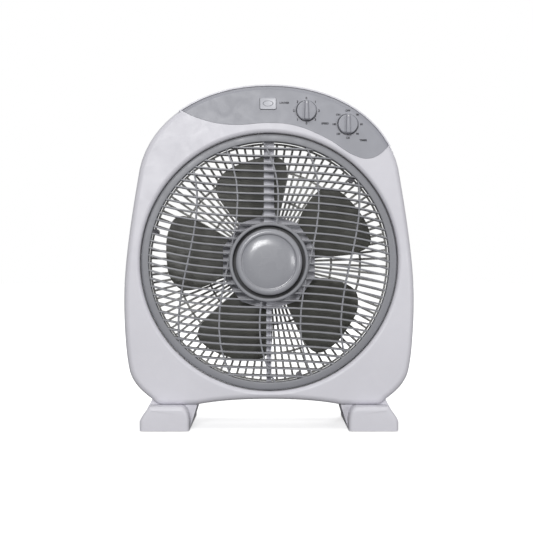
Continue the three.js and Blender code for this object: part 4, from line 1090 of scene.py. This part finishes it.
for y in (-PAD_Y, PAD_Y):
    column = upright_cylinder("pad_column", PAD_RADIUS + 3 * MM, foot_floor, 33 * MM, PAD_X, y)
    pad_air = upright_cylinder("pad_air", PAD_RADIUS + 0.6 * MM, -5 * MM, 4.3 * MM, PAD_X, y)
    combine(column, pad_air, "DIFFERENCE")
    combine(toe, column, "UNION")
soften(toe, 0.5 * MM, 2, 50)
foot_right = toe
foot_right.name = "foot_shell_right"
finish(foot_right)
foot_left = twin(foot_right, "foot_shell_left")
edit_all(foot_left)
bpy.ops.transform.mirror(constraint_axis=(True, False, False), center_override=(0, 0, 0))
bpy.ops.mesh.normals_make_consistent(inside=False)
stop_editing()

foot_pads = []
for side, word in ((-1, "left"), (1, "right")):
    for end, place in ((-1, "front"), (1, "rear")):
        pad = upright_cylinder(f"pad_{word}_{place}", PAD_RADIUS, 0, 4 * MM, side * PAD_X, end * PAD_Y)
        edit(pad)
        pick(pad, "FACE", lambda middle, normal: normal.z < -0.9)
        bpy.ops.mesh.inset(thickness=2.4 * MM)
        bpy.ops.mesh.extrude_region_move(TRANSFORM_OT_translate={"value": (0, 0, 0.8 * MM)})
        stop_editing()
        soften(pad, 0.5 * MM)
        smooth(pad)
        foot_pads.append((pad, word, place))

GLAND_BORE = 3.6 * MM
ribbed_sleeve = ((9.5, 1.6), (8.6, 3), (6.4, 3.6), (6.1, 5), (6.5, 5.4), (5.7, 6.6), (6.0, 7))
gland = turned("gland", [
    (GLAND_BORE, GLAND_LOW.y), (6.5 * MM, GLAND_LOW.y), (6.5 * MM, REAR_Y + GAP), (9.5 * MM, REAR_Y + GAP),
    *[(radius, REAR_Y + back) for radius, back in in_mm(ribbed_sleeve)],
    (5.2 * MM, GLAND_HIGH.y - 0.4 * MM), (4.8 * MM, GLAND_HIGH.y), (GLAND_BORE, GLAND_HIGH.y),
    (GLAND_BORE, GLAND_LOW.y),
], 64, GLAND_X, GLAND_Z)
smooth(gland)
print("feet, pads and gland ready")

# %% [markdown]
# ## Surfaces
# Moulded plastic is never one flat colour: its tone drifts slowly over the part, the mould leaves a
# fine grain that scatters highlights, and handling polishes some places and dulls others. These
# three effects are put in node groups, so every plastic can share them with its own strengths.
# A fourth group draws the streaks of rolled or turned metal. All of them read Object coordinates,
# so a pattern stays fixed on its piece.

# %% Node groups


def add_node(tree, kind, **settings):
    node = tree.nodes.new(kind)
    for key, value in settings.items():
        if key in node.bl_rna.properties:
            setattr(node, key, value)
        else:
            node.inputs[key].default_value = value
    return node


def new_group(name, inputs, outputs):
    group = bpy.data.node_groups.new(name, "ShaderNodeTree")
    for label, kind, value in inputs:
        socket = group.interface.new_socket(label, in_out="INPUT", socket_type=kind)
        socket.default_value = value
    for label, kind in outputs:
        group.interface.new_socket(label, in_out="OUTPUT", socket_type=kind)
    return group, group.nodes.new("NodeGroupInput"), group.nodes.new("NodeGroupOutput")


def noise(tree, coordinates, scale, detail, distortion=0.0):
    node = add_node(tree, "ShaderNodeTexNoise")
    node.inputs["Scale"].default_value = scale
    node.inputs["Detail"].default_value = detail
    node.inputs["Distortion"].default_value = distortion
    tree.links.new(coordinates, node.inputs["Vector"])
    return node.outputs["Fac"] if "Fac" in node.outputs else node.outputs[0]


def remap(tree, value, low, high, to_low, to_high):
    node = add_node(tree, "ShaderNodeMapRange")
    for label, setting in (("From Min", low), ("From Max", high), ("To Min", to_low), ("To Max", to_high)):
        node.inputs[label].default_value = setting
    tree.links.new(value, node.inputs["Value"])
    return node.outputs["Result"]


def object_place(tree):
    return add_node(tree, "ShaderNodeTexCoord").outputs["Object"]


def math_node(tree, operation, first, second):
    node = add_node(tree, "ShaderNodeMath", operation=operation)
    for socket, value in zip(node.inputs, (first, second)):
        if isinstance(value, (int, float)):
            socket.default_value = value
        else:
            tree.links.new(value, socket)
    return node.outputs[0]


def times(tree, value, factor):
    return math_node(tree, "MULTIPLY", value, factor)


def weighed(tree, first, first_share, second, second_share):
    return math_node(tree, "ADD", times(tree, first, first_share), times(tree, second, second_share))


def mix_colour(tree, factor, first, second):
    node = add_node(tree, "ShaderNodeMix", data_type="RGBA")
    tree.links.new(factor, node.inputs[0])
    for socket, value in ((node.inputs[6], first), (node.inputs[7], second)):
        if isinstance(value, tuple):
            socket.default_value = value
        else:
            tree.links.new(value, socket)
    return node.outputs[2]


def moulded_skin():
    """Slow drift of tone, smudges of handling and the mould's fine grain."""
    group, given, result = new_group(
        "moulded_skin",
        [("Light", "NodeSocketColor", (1, 1, 1, 1)), ("Dark", "NodeSocketColor", (0.5, 0.5, 0.5, 1)),
         ("Grain Scale", "NodeSocketFloat", 1300.0), ("Smooth", "NodeSocketFloat", 0.35),
         ("Rough", "NodeSocketFloat", 0.55)],
        [("Colour", "NodeSocketColor"), ("Roughness", "NodeSocketFloat"), ("Height", "NodeSocketFloat")])
    place = object_place(group)
    drift = noise(group, place, 7.0, 3.0, 0.4)
    smudge = noise(group, place, 48.0, 6.0, 0.8)
    grain = add_node(group, "ShaderNodeTexNoise")
    grain.inputs["Detail"].default_value = 2.0
    group.links.new(place, grain.inputs["Vector"])
    group.links.new(given.outputs["Grain Scale"], grain.inputs["Scale"])
    grain_value = grain.outputs[0]
    detail = weighed(group, smudge, 0.25, grain_value, 0.15)
    tone = remap(group, math_node(group, "ADD", times(group, drift, 0.6), detail), 0.35, 0.65, 0.0, 1.0)
    colour = mix_colour(group, tone, given.outputs["Light"], given.outputs["Dark"])
    group.links.new(colour, result.inputs["Colour"])
    handled = remap(group, weighed(group, smudge, 0.7, grain_value, 0.3), 0.35, 0.65, 0.0, 1.0)
    rough = add_node(group, "ShaderNodeMix", data_type="FLOAT")
    group.links.new(handled, rough.inputs[0])
    group.links.new(given.outputs["Smooth"], rough.inputs[2])
    group.links.new(given.outputs["Rough"], rough.inputs[3])
    group.links.new(rough.outputs[0], result.inputs["Roughness"])
    group.links.new(math_node(group, "ADD", grain_value, times(group, drift, 2.0)), result.inputs["Height"])
    return group


def fine_scratches():
    """Thin hairlines in two directions, as wiping leaves them."""
    group, given, result = new_group("fine_scratches", [("Amount", "NodeSocketFloat", 0.5)],
                                     [("Mask", "NodeSocketFloat")])
    place = object_place(group)
    masks = []
    for turn, stretch in (((0, 0.5, 0.2), (30, 600, 600)), ((0.1, -0.7, 1.0), (700, 500, 24))):
        mapping = add_node(group, "ShaderNodeMapping")
        mapping.inputs["Rotation"].default_value = turn
        mapping.inputs["Scale"].default_value = stretch
        group.links.new(place, mapping.inputs["Vector"])
        lines = noise(group, mapping.outputs[0], 1.0, 3.0)
        masks.append(remap(group, lines, 0.62, 0.72, 0.0, 1.0))
    both = math_node(group, "MAXIMUM", masks[0], masks[1])
    group.links.new(times(group, both, given.outputs["Amount"]), result.inputs["Mask"])
    return group


def dust_film():
    """Pale dust that gathers on faces that look upwards."""
    group, given, result = new_group("dust_film", [("Amount", "NodeSocketFloat", 0.3)],
                                     [("Mask", "NodeSocketFloat")])
    facing = add_node(group, "ShaderNodeNewGeometry").outputs["Normal"]
    split = add_node(group, "ShaderNodeSeparateXYZ")
    group.links.new(facing, split.inputs[0])
    place = object_place(group)
    patches = remap(group, noise(group, place, 90.0, 8.0, 0.3), 0.3, 0.7, 0.2, 1.0)
    upward = remap(group, split.outputs["Z"], 0.25, 1.0, 0.0, 1.0)
    film = times(group, times(group, patches, upward), given.outputs["Amount"])
    group.links.new(film, result.inputs["Mask"])
    return group


def drawn_metal():
    """Streaks of rolling or turning on bare metal."""
    group, given, result = new_group(
        "drawn_metal",
        [("Light", "NodeSocketColor", (1, 1, 1, 1)), ("Dark", "NodeSocketColor", (0.5, 0.5, 0.5, 1)),
         ("Stretch", "NodeSocketVector", (60, 900, 60))],
        [("Colour", "NodeSocketColor"), ("Roughness", "NodeSocketFloat"), ("Height", "NodeSocketFloat")])
    place = object_place(group)
    mapping = add_node(group, "ShaderNodeMapping")
    group.links.new(place, mapping.inputs["Vector"])
    group.links.new(given.outputs["Stretch"], mapping.inputs["Scale"])
    streaks = noise(group, mapping.outputs[0], 1.0, 4.0)
    stain = noise(group, place, 60.0, 6.0, 0.6)
    tone = remap(group, weighed(group, streaks, 0.6, stain, 0.4), 0.3, 0.7, 0.0, 1.0)
    colour = mix_colour(group, tone, given.outputs["Light"], given.outputs["Dark"])
    group.links.new(colour, result.inputs["Colour"])
    group.links.new(remap(group, tone, 0.0, 1.0, 0.28, 0.5), result.inputs["Roughness"])
    group.links.new(streaks, result.inputs["Height"])
    return group


SKIN, SCRATCHES, DUST, METAL = moulded_skin(), fine_scratches(), dust_film(), drawn_metal()
print("node groups:", [group.name for group in (SKIN, SCRATCHES, DUST, METAL)])

# %% [markdown]
# ## Materials
# Each material joins the groups to a Principled shader. The casing is a matt pale lilac white, the
# panel and grille two cooler greys, the blades a warm dark grey that shows a broad soft sheen.

# %% Plastics, rubber and metals


def srgb(red, green, blue):
    def linear(level):
        level /= 255
        return level / 12.92 if level <= 0.04045 else ((level + 0.055) / 1.055) ** 2.4
    return (linear(red), linear(green), linear(blue), 1.0)


def use_group(tree, group, **settings):
    node = tree.nodes.new("ShaderNodeGroup")
    node.node_tree = group
    for key, value in settings.items():
        node.inputs[key.replace("_", " ")].default_value = value
    return node


LOOKS = {}  # every material, under the name of its look


def new_material(name):
    """Makes a material, and hands back its node tree and its shader."""
    material = bpy.data.materials.new(name)
    material.use_nodes = True
    LOOKS[name] = material
    return material.node_tree, material.node_tree.nodes["Principled BSDF"]


def roughen(tree, shader, height, strength, distance):
    """Lets a height push the shading about, as fine relief does."""
    bump = add_node(tree, "ShaderNodeBump")
    bump.inputs["Strength"].default_value = strength
    bump.inputs["Distance"].default_value = distance
    tree.links.new(height, bump.inputs["Height"])
    tree.links.new(bump.outputs["Normal"], shader.inputs["Normal"])


def plastic(name, light, dark, smooth_level, rough_level, grain_scale=1300.0, relief=0.06,
            dust=0.25, scratches=0.3, coat=0.0, dust_colour=(205, 202, 196)):
    tree, shader = new_material(name)
    skin = use_group(tree, SKIN, Light=srgb(*light), Dark=srgb(*dark), Grain_Scale=grain_scale,
                     Smooth=smooth_level, Rough=rough_level)
    hairlines = use_group(tree, SCRATCHES, Amount=scratches).outputs["Mask"]
    film = use_group(tree, DUST, Amount=dust).outputs["Mask"]
    dusty = mix_colour(tree, film, skin.outputs["Colour"], srgb(*dust_colour))
    tree.links.new(dusty, shader.inputs["Base Color"])
    worn = math_node(tree, "ADD", skin.outputs["Roughness"], times(tree, hairlines, 0.12))
    tree.links.new(math_node(tree, "ADD", worn, times(tree, film, 0.3)), shader.inputs["Roughness"])
    height = math_node(tree, "SUBTRACT", skin.outputs["Height"], times(tree, hairlines, 0.6))
    roughen(tree, shader, height, relief, 0.2 * MM)
    shader.inputs["Coat Weight"].default_value = coat
    shader.inputs["Coat Roughness"].default_value = 0.12


def metal(name, light, dark, stretch=(60, 900, 60)):
    tree, shader = new_material(name)
    drawn = use_group(tree, METAL, Light=srgb(*light), Dark=srgb(*dark), Stretch=stretch)
    film = use_group(tree, DUST, Amount=0.2).outputs["Mask"]
    dusty = mix_colour(tree, film, drawn.outputs["Colour"], srgb(150, 146, 140))
    tree.links.new(dusty, shader.inputs["Base Color"])
    tree.links.new(drawn.outputs["Roughness"], shader.inputs["Roughness"])
    roughen(tree, shader, drawn.outputs["Height"], 0.15, 0.1 * MM)
    shader.inputs["Metallic"].default_value = 1.0


BLADE_DUST, BLACK_DUST, RUBBER_DUST = (140, 138, 130), (120, 118, 114), (130, 128, 122)
plastic("casing_plastic", (222, 221, 228), (214, 213, 220), 0.34, 0.5, relief=0.05, dust=0.1)
plastic("panel_plastic", (163, 164, 172), (152, 153, 160), 0.35, 0.5, relief=0.09)
plastic("grille_plastic", (143, 144, 150), (131, 132, 137), 0.32, 0.48)
plastic("cap_plastic", (158, 159, 165), (148, 149, 155), 0.2, 0.32, relief=0.03, coat=0.25)
plastic("blade_plastic", (114, 114, 107), (100, 100, 94), 0.38, 0.52, relief=0.07, dust_colour=BLADE_DUST)
plastic("button_plastic", (206, 207, 213), (194, 195, 202), 0.3, 0.45, relief=0.05)
plastic("frame_plastic", (222, 222, 230), (212, 212, 220), 0.4, 0.55)
plastic("guard_plastic", (232, 232, 228), (222, 222, 216), 0.4, 0.55)
plastic("black_plastic", (46, 46, 50), (34, 34, 38), 0.35, 0.5, dust_colour=BLACK_DUST)
plastic("rubber", (64, 64, 66), (50, 50, 52), 0.75, 0.95, 700.0, 0.3, dust=0.4, dust_colour=RUBBER_DUST)
metal("steel", (196, 198, 200), (150, 152, 156))
metal("aluminium", (205, 207, 209), (160, 162, 166), (300, 300, 300))
metal("brass", (196, 160, 96), (150, 116, 62))
metal("copper", (196, 118, 80), (140, 74, 44), (700, 200, 700))
plastic("legend_ink", (34, 34, 40), (46, 46, 52), 0.5, 0.65, 2200.0, 0.05, dust=0.05, scratches=0.1)
plastic("index_ink", (236, 236, 236), (222, 222, 222), 0.5, 0.65, 2200.0, 0.05)
plastic("relief_ink", (150, 151, 158), (138, 139, 146), 0.3, 0.45, 2000.0, 0.05)
print("materials:", len(LOOKS))

# %% [markdown]
# ## Putting the pieces in the frame
# A piece rides on the body it belongs to and replaces the plain solid it stands for. Solids that
# no finer piece replaces keep their shape and only receive a material.

# %% Bodies and replaced solids


def dress(piece, look, body=None, nodes=()):
    piece.data.materials.clear()
    piece.data.materials.append(LOOKS[look])
    if body:
        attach(piece, body)
    if nodes:
        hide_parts(*nodes)


dress(front_shell, "casing_plastic", "casing", ["front_casing"])
dress(rear_shell, "casing_plastic", "casing", ["rear_casing"])
dress(panel, "panel_plastic", "casing", ["control_panel"])
dress(louver_bars, "grille_plastic", "louver", ["louver_grille"])
for piece in (grille_ties, grille_rim, grille_hub):
    dress(piece, "grille_plastic", "louver")
# black plastic on the web is painted shade: it darkens the gap between the hub ring and the cap
dress(painted_shade_web, "black_plastic", "louver")
dress(cap, "cap_plastic", "louver", ["centre_cap"])
dress(impeller_blades, "blade_plastic", "impeller", ["fan_impeller"])
dress(impeller_hub, "blade_plastic", "impeller")
dress(guard_ribs, "guard_plastic", "casing", ["rear_guard"])
for piece in (guard_rings, guard_plate, guard_lugs):
    dress(piece, "guard_plastic", "casing")
dress(spider, "frame_plastic", "casing", ["front_spider"])
dress(clip, "black_plastic", "casing", ["lead_clip"])
dress(speed_disc, "panel_plastic", "speed_control", ["speed_knob"])
dress(speed_dot, "index_ink", "speed_control")
dress(timer_disc, "panel_plastic", "timer_control", ["timer_knob"])
dress(timer_dot, "index_ink", "timer_control")
dress(button, "button_plastic", "louver_push", ["louver_button"])
dress(relief, "relief_ink", "louver_push")
dress(dial_marks, "legend_ink", "casing")
dress(foot_right, "casing_plastic", "casing", ["foot_right"])
dress(foot_left, "casing_plastic", "casing", ["foot_left"])
for pad, word, place in foot_pads:
    dress(pad, "rubber", "casing", [f"foot_pad_{word}_{place}"])
dress(gland, "black_plastic", "casing", ["cord_gland"])

KEPT = {
    "steel": ["louver_motor", "louver_motor_shaft", "motor_shaft", "drive_pin", "motor_stator"],
    "aluminium": ["motor_rotor", "motor_front_bell", "motor_rear_bell", "timer_mechanism"],
    "copper": ["winding_front", "winding_rear"],
    "brass": ["bush_front", "bush_rear", "speed_switch_shaft", "timer_shaft"],
    "black_plastic": ["spinner_nut", "speed_switch", "louver_switch", "capacitor"],
}
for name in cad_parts:
    if "screw" in name or "bolt" in name:
        KEPT["steel"].append(name)
for look, names in KEPT.items():
    for name in names:
        dress(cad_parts[name], look)
print("kept solids:", sum(len(names) for names in KEPT.values()))

# %% [markdown]
# ## Floor
# A flat, pale sheet. The camera sees it nearly white, and a little brighter with distance, so that
# it fades into the background. The light it throws back is held down, because a white floor would
# fill every underside and flatten the shape of the casing.

# %% Floor sheet
FLOOR_BOUNCE, BLACK, WHITE = (0.2, 0.2, 0.2, 1), (0, 0, 0, 1), (1, 1, 1, 1)
clear_selection()
bpy.ops.mesh.primitive_plane_add(size=24, location=(0, 0, 0))
floor = name_new("floor")
tree, shader = new_material("floor_paint")
camera_ray = tree.nodes.new("ShaderNodeLightPath").outputs["Is Camera Ray"]
cloud = noise(tree, object_place(tree), 3.0, 4.0)
bright = mix_colour(tree, cloud, (0.98, 0.98, 0.98, 1), (0.94, 0.94, 0.95, 1))
tree.links.new(mix_colour(tree, camera_ray, FLOOR_BOUNCE, bright), shader.inputs["Base Color"])
distance = add_node(tree, "ShaderNodeVectorMath", operation="LENGTH")
tree.links.new(object_place(tree), distance.inputs[0])
glow = remap(tree, distance.outputs["Value"], 0.2, 1.6, 0.6, 0.8)
tree.links.new(mix_colour(tree, camera_ray, BLACK, WHITE), shader.inputs["Emission Color"])
tree.links.new(glow, shader.inputs["Emission Strength"])
tree.links.new(remap(tree, cloud, 0.3, 0.7, 0.75, 0.9), shader.inputs["Roughness"])
floor.data.materials.append(LOOKS["floor_paint"])
print("floor ready")
